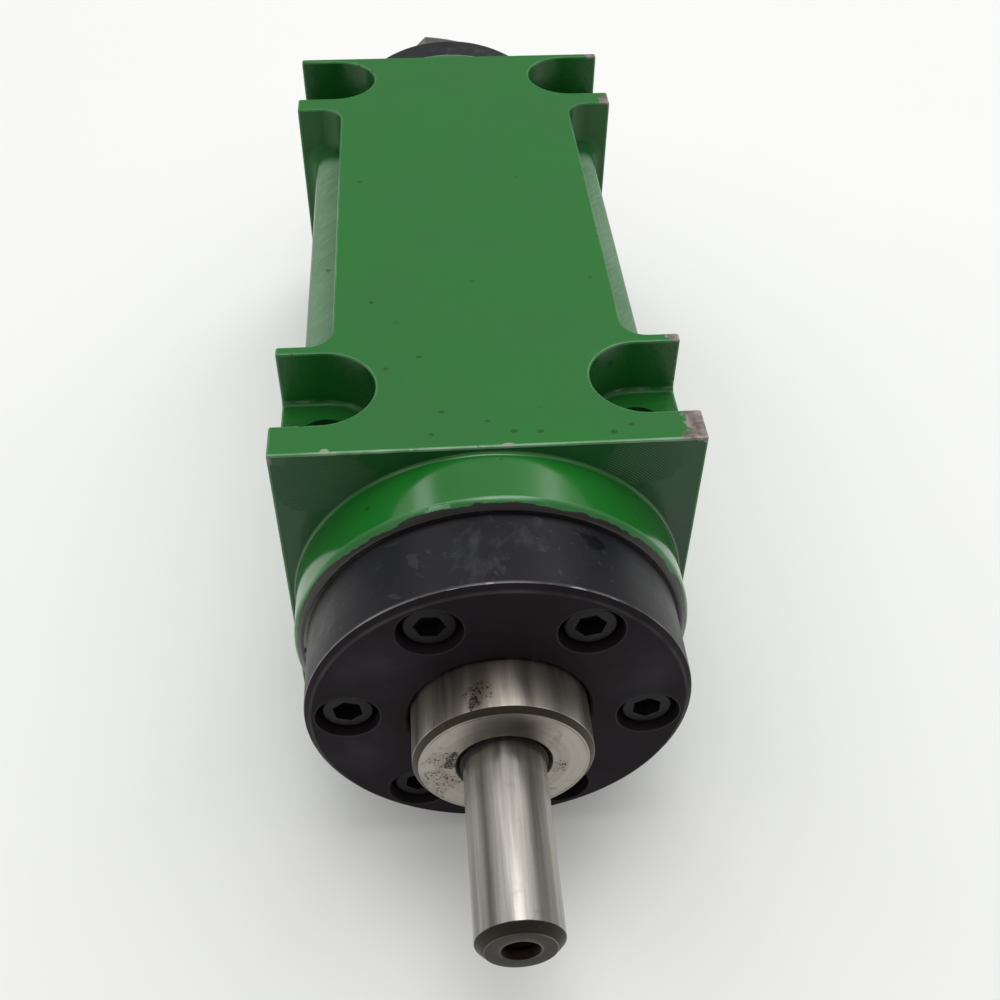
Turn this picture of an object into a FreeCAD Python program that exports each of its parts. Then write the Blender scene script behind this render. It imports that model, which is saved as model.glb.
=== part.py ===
import FreeCAD, Part
import math
import os

# Spindle head: a belt-driven spindle with a collet nose, carried in a square cast housing.
# Millimetres. The origin is the centre of the four base bolts on the mounting face.
# +Y runs along the spindle from the belt end (rear) to the collet nose (front), and +Z is up.

# Bearings: one deep-groove at the rear, an angular-contact pair at the front
bearing_bore = 20.0
bearing_diameter = 42.0
bearing_width = 12.0
ring_space = 4.5
ball_diameter = 6.35
ball_count = 9
first_ball_turn = 90.0
ball_gap = 0.05
ring_relief = 0.85
ring_corner = 0.6
cage_thickness = 2.6
cage_width = 9.4
cage_pocket_gap = 0.1
bore_shoulder_height = 3.0
outer_ring_float = 1.0

# Bearing covers and their cap screws; the cover grows outward from the bearing it closes
screw_circle_offset = 7.0
cover_rim = 8.0
rear_cover_thickness = 17.0
front_cover_thickness = 14.0
cover_chamfer = 1.2
cover_bore_gap = 0.4
cover_bore_chamfer = 0.5
spigot_length = 4.0
spigot_gap = 0.02
screw_count = 6
screw_tightened_turn = 17.0
screw_circle_turn = -4.0
screw_diameter = 6.0
screw_head_diameter = 10.0
screw_head_height = 6.0
screw_head_chamfer = 0.5
screw_socket_flats = 5.0
screw_socket_depth = 3.0
counterbore_gap = 0.9
counterbore_chamfer = 0.3
screw_head_sink = 1.4
screw_hole_gap = 0.3
rear_screw_length = 25.0
front_screw_length = 16.0
tapped_hole_spare_depth = 3.0
thread_gap = 0.05

# Housing casting: square ears round the bosses, a waist between the ears
boss_land = 2.5
plate_margin = 1.5
base_margin = 1.5
rear_boss_length = 13.0
front_boss_length = 6.0
boss_edge_chamfer = 1.5
boss_root_depth = 1.0
boss_root_radius = 0.8
waist_length = 98.0
waist_inset = 11.0
waist_corner_radius = 5.0
barrel_inset = 3.5
barrel_corner_radius = 4.0
ledge_depth = 12.0
ear_root_radius = 3.0
casting_edge_chamfer = 0.6

# Base bolts and the side-open pockets that their heads sit in
pocket_width = 21.0
pocket_depth = 12.7
pocket_floor_radius = 1.0
rear_pocket_outer_wall = 8.0
rear_pocket_inner_wall = 2.5
front_pocket_inner_wall = 6.0
front_pocket_outer_wall = 2.0
bolt_side_inset = 9.0
bolt_hole_diameter = 11.0

# Spacers, wave spring and felt seals
pair_spacer_width = 5.0
spacer_ring_thickness = 3.0
long_sleeve_thickness = 2.5
spring_height = 2.5
spring_thickness = 0.5
spring_ring_width = 2.4
spring_edge_gap = 0.2
spring_waves = 3
spring_steps_per_wave = 16
felt_width = 5.0
felt_height = 4.0
felt_offset = 6.0
running_gap = 0.05

# Spindle shaft and the ground collar that clamps the rear bearing
track_diameter = 33.0
collar_projection = 10.5
collar_chamfer = 1.0
collar_bore_chamfer = 0.7
collar_bore_gap = 0.05
collar_nose_length = 2.5
collar_step = 0.5
shaft_diameter = 15.0
shaft_projection = 34.5
shaft_end_chamfer = 1.5
seat_overrun = 1.0
end_thread_drill = 5.0
end_thread_depth = 16.0
end_countersink_diameter = 6.6
countersink_angle = 60.0
drill_point_angle = 118.0
shoulder_height = 3.0
shoulder_length = 1.5
flange_projection = 1.5
flange_chamfer = 0.5

# Collet nose, collet and nut
nose_thread_diameter = 25.0
nose_thread_length = 15.0
nose_step = 1.0
nose_length = 41.0
nose_groove_width = 2.5
nose_groove_depth = 1.2
nose_chamfer = 0.8
taper_angle = 8.0
collet_diameter = 21.0
collet_length = 31.5
collet_head_length = 3.5
collet_head_step = 0.25
collet_head_rim = 1.1
collet_head_angle = 30.0
collet_groove_width = 1.5
collet_groove_depth = 1.6
collet_bore = 10.0
collet_slot_width = 0.6
collet_first_slot_turn = 7.5
collet_slots_each_end = 6
collet_web_length = 5.0
shank_bore_gap = 1.5
shank_bore_depth = 12.0
nut_across_flats = 30.0
nut_length = 17.0
nut_edge_chamfer = 1.3
nut_chamfer_angle = 30.0
nut_turn = 48.0
flat_to_corner_turn = 30.0
nut_lip_gap = 0.15
nut_lip_offset = 1.1
nut_lip_clearance = 0.25

# Diameters and heights that follow from those sizes
ball_circle_diameter = (bearing_bore + bearing_diameter) / 2
inner_ring_diameter = ball_circle_diameter - ring_space
outer_ring_bore = ball_circle_diameter + ring_space
relieved_ring_bore = outer_ring_bore + 2 * ring_relief
screw_circle_diameter = bearing_diameter + 2 * screw_circle_offset
cover_diameter = screw_circle_diameter + 2 * cover_rim
screw_counterbore_diameter = screw_head_diameter + 2 * counterbore_gap
screw_counterbore_depth = screw_head_height + screw_head_sink
screw_hole_diameter = screw_diameter + 2 * screw_hole_gap
boss_diameter = cover_diameter + 2 * boss_land
axis_height = boss_diameter / 2 + base_margin
housing_width = boss_diameter + 2 * plate_margin
housing_height = axis_height + boss_diameter / 2 + plate_margin
barrel_width = housing_width - 2 * barrel_inset
barrel_height = housing_height - ledge_depth
waist_width = housing_width - 2 * waist_inset
rear_ear_length = rear_pocket_outer_wall + pocket_width + rear_pocket_inner_wall
front_ear_length = front_pocket_inner_wall + pocket_width + front_pocket_outer_wall
housing_length = rear_ear_length + waist_length + front_ear_length
bolt_spacing_x = housing_width - 2 * bolt_side_inset
bolt_spacing_y = rear_pocket_inner_wall + waist_length + front_pocket_inner_wall + pocket_width
collar_fit_diameter = shaft_diameter + 2 * collar_step
shoulder_diameter = bearing_bore + 2 * shoulder_height
nose_diameter = nose_thread_diameter + 2 * nose_step
shank_bore_diameter = collet_bore + 2 * shank_bore_gap
collet_head_diameter = collet_diameter - 2 * collet_head_step
collet_groove_diameter = collet_diameter - 2 * collet_groove_depth
nut_lip_bore = collet_head_diameter + 2 * nut_lip_gap

# Planes across the spindle, from the rear to the front
rear_face = -(rear_pocket_outer_wall + pocket_width / 2 + bolt_spacing_y / 2)
front_face = rear_face + housing_length
rear_ear_inside = rear_face + rear_ear_length
front_ear_inside = front_face - front_ear_length
rear_boss_end = rear_face - rear_boss_length
front_boss_end = front_face + front_boss_length
rear_cover_face = rear_boss_end - rear_cover_thickness
front_cover_face = front_boss_end + front_cover_thickness
collar_face = rear_cover_face - collar_projection
shaft_end = collar_face - shaft_projection
spring_rear = rear_boss_end + spigot_length
rear_bearing_start = spring_rear + spring_height
rear_bearing_end = rear_bearing_start + bearing_width
front_shoulder = front_boss_end - spigot_length
nose_bearing_start = front_shoulder - bearing_width
inner_bearing_end = nose_bearing_start - pair_spacer_width
inner_bearing_start = inner_bearing_end - bearing_width
flange_end = front_cover_face + flange_projection
nose_end = flange_end + nose_length
collet_back = nose_end - (collet_length - collet_head_length - collet_groove_width)
groove_end = nose_end + collet_groove_width
collet_front = groove_end + collet_head_length
nut_start = collet_front - nut_length

# How far a cutter runs past the face it opens, and how near two places count as the same
overshoot = 1.0
same_place = 0.01

taper_slope = math.tan(math.radians(taper_angle))
head_slope = math.tan(math.radians(collet_head_angle))
along_spindle = FreeCAD.Vector(0, 1, 0)


# Shapes shared by several pieces
def point(x, y, z):
    return FreeCAD.Vector(x, y, z)


def turned(profile, x=0.0, z=axis_height):
    """Solid of revolution about a line along Y, from (y, radius) corners."""
    corners = [point(x, y, z + radius) for y, radius in profile]
    face = Part.Face(Part.makePolygon(corners + corners[:1]))
    solid = face.revolve(point(x, 0, z), along_spindle, 360)
    if solid.Volume < 0:
        solid.reverse()
    return solid


def outward_profile(profile, start, direction):
    """Corners given as (distance outward from start, radius)."""
    return [(start + direction * distance, radius) for distance, radius in profile]


def ring(start, end, inner_radius, outer_radius, x=0.0, z=axis_height):
    corners = [(start, inner_radius), (start, outer_radius), (end, outer_radius), (end, inner_radius)]
    return turned(corners, x, z)


def rod(start, end, radius, x=0.0, z=axis_height):
    return ring(start, end, 0.0, radius, x, z)


def block(width, start, end, bottom, top):
    return Part.makeBox(width, end - start, top - bottom, point(-width / 2, start, bottom))


def hexagon(flats, start, end, turn, x=0.0, z=axis_height):
    """Six-sided prism along Y."""
    corner_radius = flats / math.sqrt(3)
    corners = []
    for index in range(7):
        angle = math.radians(turn + 60 * index)
        corners.append(point(x + corner_radius * math.cos(angle), start, z + corner_radius * math.sin(angle)))
    return Part.Face(Part.makePolygon(corners)).extrude(point(0, end - start, 0))


def circle_places(diameter, count, turn):
    """(x, z, index) of each place on a circle about the spindle axis."""
    places = []
    for index in range(count):
        angle = math.radians(turn + 360 * index / count)
        places.append((diameter / 2 * math.cos(angle), axis_height + diameter / 2 * math.sin(angle), index))
    return places


def screw_places():
    return circle_places(screw_circle_diameter, screw_count, screw_circle_turn)


# Housing
def barrel_with_ears():
    """Square ears joined by the narrower barrel, with a fillet all round each barrel root."""
    rear_ear = block(housing_width, rear_face, rear_ear_inside, 0, housing_height)
    front_ear = block(housing_width, front_ear_inside, front_face, 0, housing_height)
    barrel = block(barrel_width, rear_ear_inside, front_ear_inside, 0, barrel_height)
    top_edges = [edge for edge in barrel.Edges
                 if edge.BoundBox.ZMin > barrel_height - same_place and edge.BoundBox.YLength > same_place]
    barrel = barrel.makeFillet(barrel_corner_radius, top_edges)
    joined = rear_ear.fuse([front_ear, barrel]).removeSplitter()
    root_edges = [edge for edge in joined.Edges if is_barrel_root(edge.BoundBox)]
    return joined.makeFillet(ear_root_radius, root_edges)


def is_barrel_root(box):
    on_ear_face = (box.YLength < same_place
                   and rear_ear_inside - same_place < box.YMin < front_ear_inside + same_place)
    on_barrel = (box.XLength < barrel_width + same_place
                 and abs(box.Center.x) < barrel_width / 2 + same_place)
    return on_ear_face and on_barrel and same_place < box.ZMax < barrel_height + same_place


def top_plate():
    """Flat top over the ears, waisted between them with rounded inner corners."""
    plate = block(housing_width, rear_face, front_face, axis_height, housing_height)
    for side in (-1, 1):
        inner = side * waist_width / 2
        outer = side * housing_width
        relief = Part.makeBox(abs(outer - inner), front_ear_inside - rear_ear_inside, housing_height,
                              point(min(inner, outer), rear_ear_inside, axis_height - overshoot))
        corner_edges = [edge for edge in relief.Edges
                        if edge.BoundBox.ZLength > same_place
                        and abs(edge.BoundBox.Center.x - inner) < same_place]
        plate = plate.cut(relief.makeFillet(waist_corner_radius, corner_edges))
    return plate


def boss(root, end, direction):
    """Round boss with a chamfered rim, set a little way into the ear that carries it."""
    radius = boss_diameter / 2
    length = abs(end - root)
    profile = [(-boss_root_depth, 0), (-boss_root_depth, radius), (length - boss_edge_chamfer, radius),
               (length, radius - boss_edge_chamfer), (length, 0)]
    return turned(outward_profile(profile, root, direction))


def bolt_pocket(side, y):
    """Side-open pocket with a round end and a through hole for one base bolt."""
    centre_x = side * bolt_spacing_x / 2
    floor = housing_height - pocket_depth
    round_end = Part.makeCylinder(pocket_width / 2, housing_height, point(centre_x, y, floor))
    opening = Part.makeBox(housing_width, pocket_width, housing_height,
                           point(min(centre_x, centre_x + side * housing_width), y - pocket_width / 2, floor))
    pocket = round_end.fuse(opening).removeSplitter()
    floor_edges = [edge for edge in pocket.Edges if edge.BoundBox.ZMax < floor + same_place]
    pocket = pocket.makeFillet(pocket_floor_radius, floor_edges)
    hole = Part.makeCylinder(bolt_hole_diameter / 2, housing_height, point(centre_x, y, -overshoot))
    return pocket.fuse(hole)


def bearing_bores():
    """Stepped bore: a seat at each end and a narrower middle that leaves the shoulders."""
    seat = bearing_diameter / 2
    rear_seat_end = rear_bearing_end + outer_ring_float
    middle = rod(rear_boss_end - overshoot, front_boss_end + overshoot, seat - bore_shoulder_height)
    rear_seat = rod(rear_boss_end - overshoot, rear_seat_end, seat)
    front_seat = rod(inner_bearing_start, front_boss_end + overshoot, seat)
    return middle.fuse([rear_seat, front_seat])


def tapped_holes(boss_end, direction, cover_thickness, screw_length):
    engaged = screw_length - (cover_thickness - screw_counterbore_depth)
    depth = engaged + tapped_hole_spare_depth
    holes = []
    for x, z, index in screw_places():
        profile = [(overshoot, 0), (overshoot, screw_diameter / 2), (-depth, screw_diameter / 2), (-depth, 0)]
        holes.append(turned(outward_profile(profile, boss_end, direction), x, z))
    return Part.makeCompound(holes)


def is_outer_corner(box):
    """True for the upright corner edges of the ears."""
    upright = box.XLength < same_place and box.YLength < same_place
    return upright and abs(abs(box.Center.x) - housing_width / 2) < same_place


def is_boss_root(box):
    on_face = abs(box.YMin - rear_face) < same_place or abs(box.YMin - front_face) < same_place
    return box.YLength < same_place and on_face and abs(box.XLength - boss_diameter) < same_place


def make_housing():
    casting = barrel_with_ears().fuse(top_plate()).removeSplitter()
    outer_edges = [edge for edge in casting.Edges
                   if edge.BoundBox.ZMin > housing_height - same_place or is_outer_corner(edge.BoundBox)]
    casting = casting.makeChamfer(casting_edge_chamfer, outer_edges)
    casting = casting.fuse([boss(rear_face, rear_boss_end, -1), boss(front_face, front_boss_end, 1)])
    boss_roots = [edge for edge in casting.Edges if is_boss_root(edge.BoundBox)]
    casting = casting.makeFillet(boss_root_radius, boss_roots)
    for side in (-1, 1):
        for y in (-bolt_spacing_y / 2, bolt_spacing_y / 2):
            casting = casting.cut(bolt_pocket(side, y))
    casting = casting.cut(bearing_bores())
    casting = casting.cut(tapped_holes(rear_boss_end, -1, rear_cover_thickness, rear_screw_length))
    casting = casting.cut(tapped_holes(front_boss_end, 1, front_cover_thickness, front_screw_length))
    return casting.removeSplitter()


# Bearing covers, screws and seals
def bearing_cover(boss_end, direction, thickness):
    """Flanged cover: spigot into the bore, felt groove, counterbored screw holes."""
    bore = track_diameter / 2 + cover_bore_gap
    outside = cover_diameter / 2
    groove = bore + felt_height
    spigot = bearing_diameter / 2 - spigot_gap
    near = felt_offset - felt_width / 2
    far = felt_offset + felt_width / 2
    profile = [(-spigot_length, bore), (-spigot_length, spigot), (0, spigot),
               (0, outside), (thickness - cover_chamfer, outside), (thickness, outside - cover_chamfer),
               (thickness, bore + cover_bore_chamfer), (thickness - cover_bore_chamfer, bore),
               (far, bore), (far, groove), (near, groove), (near, bore)]
    cover = turned(outward_profile(profile, boss_end, direction))
    hole = screw_hole_diameter / 2
    counterbore = screw_counterbore_diameter / 2
    seat = thickness - screw_counterbore_depth
    past = thickness + overshoot
    mouth = counterbore + counterbore_chamfer + overshoot
    for x, z, index in screw_places():
        cutter = [(-overshoot, 0), (-overshoot, hole), (seat, hole), (seat, counterbore),
                  (thickness - counterbore_chamfer, counterbore), (past, mouth), (past, 0)]
        cover = cover.cut(turned(outward_profile(cutter, boss_end, direction), x, z))
    return cover


def cap_screws(boss_end, direction, thickness, length):
    """Hexagon-socket cap screws seated in the counterbores of one cover."""
    seat = thickness - screw_counterbore_depth
    top = seat + screw_head_height
    shank = screw_diameter / 2 - thread_gap
    head = screw_head_diameter / 2
    screws = []
    for x, z, index in screw_places():
        profile = [(seat - length, 0), (seat - length, shank - screw_head_chamfer),
                   (seat - length + screw_head_chamfer, shank), (seat, shank), (seat, head),
                   (top - screw_head_chamfer, head), (top, head - screw_head_chamfer), (top, 0)]
        screw = turned(outward_profile(profile, boss_end, direction), x, z)
        # Each screw stops at its own angle when it is tight.
        socket_turn = screw_tightened_turn * index
        socket = hexagon(screw_socket_flats, boss_end + direction * (top - screw_socket_depth),
                         boss_end + direction * (top + overshoot), socket_turn, x, z)
        screws.append(screw.cut(socket))
    return Part.makeCompound(screws)


def felt_seal(boss_end, direction):
    """Felt ring that fills the cover groove and rubs on the ground track."""
    groove = track_diameter / 2 + cover_bore_gap + felt_height
    near = felt_offset - felt_width / 2
    far = felt_offset + felt_width / 2
    inside = track_diameter / 2 + running_gap
    profile = [(near, inside), (near, groove), (far, groove), (far, inside)]
    return turned(outward_profile(profile, boss_end, direction))


# Bearings and spacers
def race_track(start):
    """Ball track as a full ring, with the running gap round the balls."""
    return Part.makeTorus(ball_circle_diameter / 2, ball_diameter / 2 + ball_gap,
                          point(0, start + bearing_width / 2, axis_height), along_spindle)


def ring_blank(start, seat_radius, land_radius):
    """Bearing ring before its track is ground, with its corners broken on the side that it seats by."""
    end = start + bearing_width
    broken = seat_radius + math.copysign(ring_corner, land_radius - seat_radius)
    return turned([(start, land_radius), (start, broken), (start + ring_corner, seat_radius),
                   (end - ring_corner, seat_radius), (end, broken), (end, land_radius)])


def inner_ring(start):
    return ring_blank(start, bearing_bore / 2, inner_ring_diameter / 2).cut(race_track(start))


def outer_ring(start, relieved=0):
    """Outer ring; relieved is -1 or 1 for the side whose shoulder an angular-contact ring lacks."""
    end = start + bearing_width
    middle = (start + end) / 2
    blank = ring_blank(start, bearing_diameter / 2, outer_ring_bore / 2)
    if relieved < 0:
        blank = blank.cut(rod(start - overshoot, middle, relieved_ring_bore / 2))
    if relieved > 0:
        blank = blank.cut(rod(middle, end + overshoot, relieved_ring_bore / 2))
    return blank.cut(race_track(start))


def ball_places():
    return circle_places(ball_circle_diameter, ball_count, first_ball_turn)


def ball_set(start):
    middle = start + bearing_width / 2
    balls = [Part.makeSphere(ball_diameter / 2, point(x, middle, z)) for x, z, index in ball_places()]
    return Part.makeCompound(balls)


def cage(start):
    """Machined cage: a band with one drilled pocket for each ball."""
    middle = start + bearing_width / 2
    mean_radius = ball_circle_diameter / 2
    band = ring(middle - cage_width / 2, middle + cage_width / 2,
                mean_radius - cage_thickness / 2, mean_radius + cage_thickness / 2)
    for x, z, index in ball_places():
        outward = point(x, 0, z - axis_height)
        pocket = Part.makeCylinder(ball_diameter / 2 + cage_pocket_gap, bearing_diameter,
                                   point(0, middle, axis_height), outward)
        band = band.cut(pocket)
    return band


def wave_spring():
    """Closed wavy washer that loads the rear outer ring."""
    outside = bearing_diameter / 2 - spring_edge_gap
    inside = outside - spring_ring_width
    middle = spring_rear + spring_height / 2
    amplitude = (spring_height - spring_thickness) / 2
    steps = spring_steps_per_wave * spring_waves

    def wavy_edge(radius, shift):
        places = []
        for step in range(steps):
            angle = 2 * math.pi * step / steps
            height = middle + shift + amplitude * math.cos(spring_waves * angle)
            places.append(point(radius * math.cos(angle), height, axis_height + radius * math.sin(angle)))
        curve = Part.BSplineCurve()
        curve.interpolate(places, PeriodicFlag=True)
        return curve.toShape()

    half = spring_thickness / 2
    corners = [(inside, -half), (outside, -half), (outside, half), (inside, half)]
    edges = [wavy_edge(radius, shift) for radius, shift in corners]
    faces = [Part.makeRuledSurface(edges[index], edges[(index + 1) % 4]) for index in range(4)]
    spring = Part.makeSolid(Part.makeShell(faces))
    if spring.Volume < 0:
        spring.reverse()
    return spring


# Spindle
def make_spindle_shaft():
    """One turned shaft: belt journal, bearing seat, shoulder flange, collet nose."""
    journal = shaft_diameter / 2
    collar_fit = collar_fit_diameter / 2
    seat = bearing_bore / 2
    shoulder = shoulder_diameter / 2
    flange = track_diameter / 2
    nose = nose_diameter / 2
    thread = nose_thread_diameter / 2
    groove = thread - nose_groove_depth
    thread_start = nose_end - nose_thread_length
    groove_start = thread_start - nose_groove_width
    step = rear_bearing_start - seat_overrun
    shoulder_end = front_shoulder + shoulder_length
    profile = [(shaft_end, 0), (shaft_end, journal - shaft_end_chamfer),
               (shaft_end + shaft_end_chamfer, journal), (collar_face, journal),
               (collar_face, collar_fit), (step, collar_fit), (step, seat), (front_shoulder, seat),
               (front_shoulder, shoulder), (shoulder_end, shoulder), (shoulder_end, flange),
               (flange_end - flange_chamfer, flange), (flange_end, flange - flange_chamfer),
               (flange_end, nose), (groove_start, nose), (groove_start, groove), (thread_start, groove),
               (thread_start, thread),
               (nose_end - nose_chamfer, thread), (nose_end, thread - nose_chamfer), (nose_end, 0)]
    shaft = turned(profile)
    return shaft.cut(end_thread_hole()).cut(collet_socket())


def end_thread_hole():
    """Tapped centre hole in the belt end, with a 60 degree countersink."""
    drill = end_thread_drill / 2
    mouth = end_countersink_diameter / 2
    countersink_depth = (mouth - drill) / math.tan(math.radians(countersink_angle / 2))
    tip = end_thread_depth + drill / math.tan(math.radians(drill_point_angle / 2))
    profile = [(overshoot, 0), (overshoot, mouth), (0, mouth), (-countersink_depth, drill),
               (-end_thread_depth, drill), (-tip, 0)]
    return turned(outward_profile(profile, shaft_end, -1))


def collet_socket():
    """Tapered socket for the collet, with a straight clearance bore behind it."""
    mouth = collet_diameter / 2 + running_gap
    socket_depth = nose_end - collet_back + running_gap
    back = mouth - socket_depth * taper_slope
    shank = shank_bore_diameter / 2
    bottom = -socket_depth - shank_bore_depth
    profile = [(overshoot, 0), (overshoot, mouth + overshoot * taper_slope), (-socket_depth, back),
               (-socket_depth, shank), (bottom, shank), (bottom, 0)]
    return turned(outward_profile(profile, nose_end, 1))


def make_rear_collar():
    """Ground collar on the belt journal; its inner end clamps the rear inner ring."""
    outside = track_diameter / 2
    bore = collar_fit_diameter / 2 + collar_bore_gap
    nose = shoulder_diameter / 2
    recess_end = rear_bearing_start - seat_overrun - collar_bore_gap
    recess = bearing_bore / 2 + collar_bore_gap
    profile = [(collar_face, bore + collar_bore_chamfer), (collar_face, outside - collar_chamfer),
               (collar_face + collar_chamfer, outside), (rear_bearing_start - collar_nose_length, outside),
               (rear_bearing_start - collar_nose_length, nose), (rear_bearing_start, nose),
               (rear_bearing_start, recess), (recess_end, recess), (recess_end, bore),
               (collar_face + collar_bore_chamfer, bore)]
    return turned(profile)


def make_long_sleeve():
    inside = bearing_bore / 2
    return ring(rear_bearing_end, inner_bearing_start, inside, inside + long_sleeve_thickness)


def make_inner_spacer():
    inside = bearing_bore / 2
    return ring(inner_bearing_end, nose_bearing_start, inside, inside + spacer_ring_thickness)


def make_outer_spacer():
    outside = bearing_diameter / 2
    return ring(inner_bearing_end, nose_bearing_start, outside - spacer_ring_thickness, outside)


# Collet and nut
def make_collet():
    """Double-taper collet with slots cut from both ends in turn."""
    back_radius = collet_diameter / 2 - (nose_end - collet_back) * taper_slope
    head = collet_head_diameter / 2
    front_radius = head - (collet_head_length - collet_head_rim) * head_slope
    groove = collet_groove_diameter / 2
    bore = collet_bore / 2
    profile = [(collet_back, bore), (collet_back, back_radius), (nose_end, collet_diameter / 2),
               (nose_end, groove), (groove_end, groove), (groove_end, head),
               (groove_end + collet_head_rim, head), (collet_front, front_radius), (collet_front, bore)]
    collet = turned(profile)
    slot_length = collet_length - collet_web_length
    pitch_turn = 360 / collet_slots_each_end
    for index in range(collet_slots_each_end // 2):
        turn = collet_first_slot_turn + pitch_turn * index
        front_slot = collet_slot(collet_front - slot_length, collet_front + overshoot, turn)
        back_slot = collet_slot(collet_back - overshoot, collet_back + slot_length, turn + pitch_turn / 2)
        collet = collet.cut(front_slot).cut(back_slot)
    return collet


def collet_slot(start, end, turn):
    """Thin slot across the whole diameter, turned about the spindle axis."""
    slot = block(collet_slot_width, start, end, axis_height - collet_diameter, axis_height + collet_diameter)
    slot.rotate(point(0, 0, axis_height), along_spindle, turn)
    return slot


def make_collet_nut():
    """Hexagon nut: thread bore, offset lip in the collet groove and a conical seat."""
    corner = nut_across_flats / math.sqrt(3)
    rim = corner - nut_edge_chamfer / math.tan(math.radians(nut_chamfer_angle))
    envelope = turned([(nut_start, 0), (nut_start, rim), (nut_start + nut_edge_chamfer, corner),
                       (collet_front - nut_edge_chamfer, corner), (collet_front, rim), (collet_front, 0)])
    bar = hexagon(nut_across_flats, nut_start, collet_front, nut_turn + flat_to_corner_turn)
    blank = bar.common(envelope)
    thread = nose_thread_diameter / 2 + thread_gap
    lip_start = nose_end + nut_lip_clearance
    lip_end = groove_end - nut_lip_clearance
    chamber = collet_head_diameter / 2 + running_gap
    cone_start = groove_end + collet_head_rim
    mouth = chamber - (collet_front - cone_start) * head_slope
    thread_bore = rod(nut_start - overshoot, lip_start, thread)
    seat = turned([(lip_end, 0), (lip_end, chamber), (cone_start, chamber), (collet_front, mouth),
                   (collet_front + overshoot, mouth), (collet_front + overshoot, 0)])
    lip_x = nut_lip_offset * math.cos(math.radians(nut_turn))
    lip_z = nut_lip_offset * math.sin(math.radians(nut_turn))
    lip_bore = rod(nut_start, cone_start, nut_lip_bore / 2, lip_x, axis_height + lip_z)
    return blank.cut(thread_bore).cut(seat).cut(lip_bore)


def all_pieces():
    pieces = {
        "housing": make_housing(),
        "rear_cover": bearing_cover(rear_boss_end, -1, rear_cover_thickness),
        "rear_cover_screws": cap_screws(rear_boss_end, -1, rear_cover_thickness, rear_screw_length),
        "rear_felt_seal": felt_seal(rear_boss_end, -1),
        "front_cover": bearing_cover(front_boss_end, 1, front_cover_thickness),
        "front_cover_screws": cap_screws(front_boss_end, 1, front_cover_thickness, front_screw_length),
        "front_felt_seal": felt_seal(front_boss_end, 1),
        "wave_spring": wave_spring(),
        "rear_bearing_outer_ring": outer_ring(rear_bearing_start),
        "inner_bearing_outer_ring": outer_ring(inner_bearing_start, -1),
        "nose_bearing_outer_ring": outer_ring(nose_bearing_start, 1),
        "outer_spacer_ring": make_outer_spacer(),
        "spindle_shaft": make_spindle_shaft(),
        "rear_collar": make_rear_collar(),
        "long_spacer_sleeve": make_long_sleeve(),
        "inner_spacer_ring": make_inner_spacer(),
        "collet": make_collet(),
        "collet_nut": make_collet_nut(),
    }
    bearings = {"rear": rear_bearing_start, "inner": inner_bearing_start, "nose": nose_bearing_start}
    for name, start in bearings.items():
        pieces[name + "_bearing_inner_ring"] = inner_ring(start)
        pieces[name + "_bearing_balls"] = ball_set(start)
        pieces[name + "_bearing_cage"] = cage(start)
    return pieces


os.makedirs("parts", exist_ok=True)
for node, shape in all_pieces().items():
    shape.exportStep("parts/" + node + ".step")
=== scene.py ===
# %% [markdown]
# A spindle head turns a cutter. A belt drives the bare shaft at the near end, and a collet holds the tool at the
# far end. The imported CAD model is the frame of this scene: it says where each piece sits and what moves with what.

# %% Load the frame
import math

import bmesh
import bpy
from mathutils import Matrix, Vector


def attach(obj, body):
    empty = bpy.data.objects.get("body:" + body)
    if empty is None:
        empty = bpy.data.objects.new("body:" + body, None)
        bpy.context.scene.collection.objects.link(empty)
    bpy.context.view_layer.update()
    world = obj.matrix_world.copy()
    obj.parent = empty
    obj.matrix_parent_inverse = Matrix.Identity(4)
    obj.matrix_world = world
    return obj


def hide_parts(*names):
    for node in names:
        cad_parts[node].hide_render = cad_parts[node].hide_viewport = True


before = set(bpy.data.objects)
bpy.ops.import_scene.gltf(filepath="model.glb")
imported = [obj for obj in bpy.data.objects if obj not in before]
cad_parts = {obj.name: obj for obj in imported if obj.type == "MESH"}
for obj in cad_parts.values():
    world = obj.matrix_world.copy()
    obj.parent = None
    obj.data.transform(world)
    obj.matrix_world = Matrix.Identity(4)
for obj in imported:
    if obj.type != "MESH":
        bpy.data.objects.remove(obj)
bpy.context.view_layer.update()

# %% [markdown]
# Every size below is in millimetres, as on a workshop drawing, and MM turns it into Blender's metres. The spindle
# axis lies along Y, 40 mm above the base. Planes across the spindle are named once and used by every piece.

# %% Sizes shared by the pieces
MM = 0.001
AXIS_Z = 40.0
HALF_WIDTH, HEIGHT = 40.0, 80.0
REAR_FACE, FRONT_FACE = -82.25, 76.25
REAR_EAR_INSIDE, FRONT_EAR_INSIDE = -50.75, 47.25
REAR_BOSS_END, FRONT_BOSS_END = -95.25, 82.25
REAR_COVER_FACE, FRONT_COVER_FACE = -112.25, 96.25
COLLAR_FACE, SHAFT_END = -122.75, -157.25
POCKET_PLACES = [(side, y) for side in (-1, 1) for y in (-63.75, 63.75)]
SCREW_ANGLES = [math.radians(-4 + 60 * index) for index in range(6)]
print("housing", FRONT_FACE - REAR_FACE, "mm long between its faces")

# %% [markdown]
# The photograph looks down on the belt end from about 45 degrees. The camera was found by fitting the corners of the
# block and the circles of the cover, so its place is plain numbers here.

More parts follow.
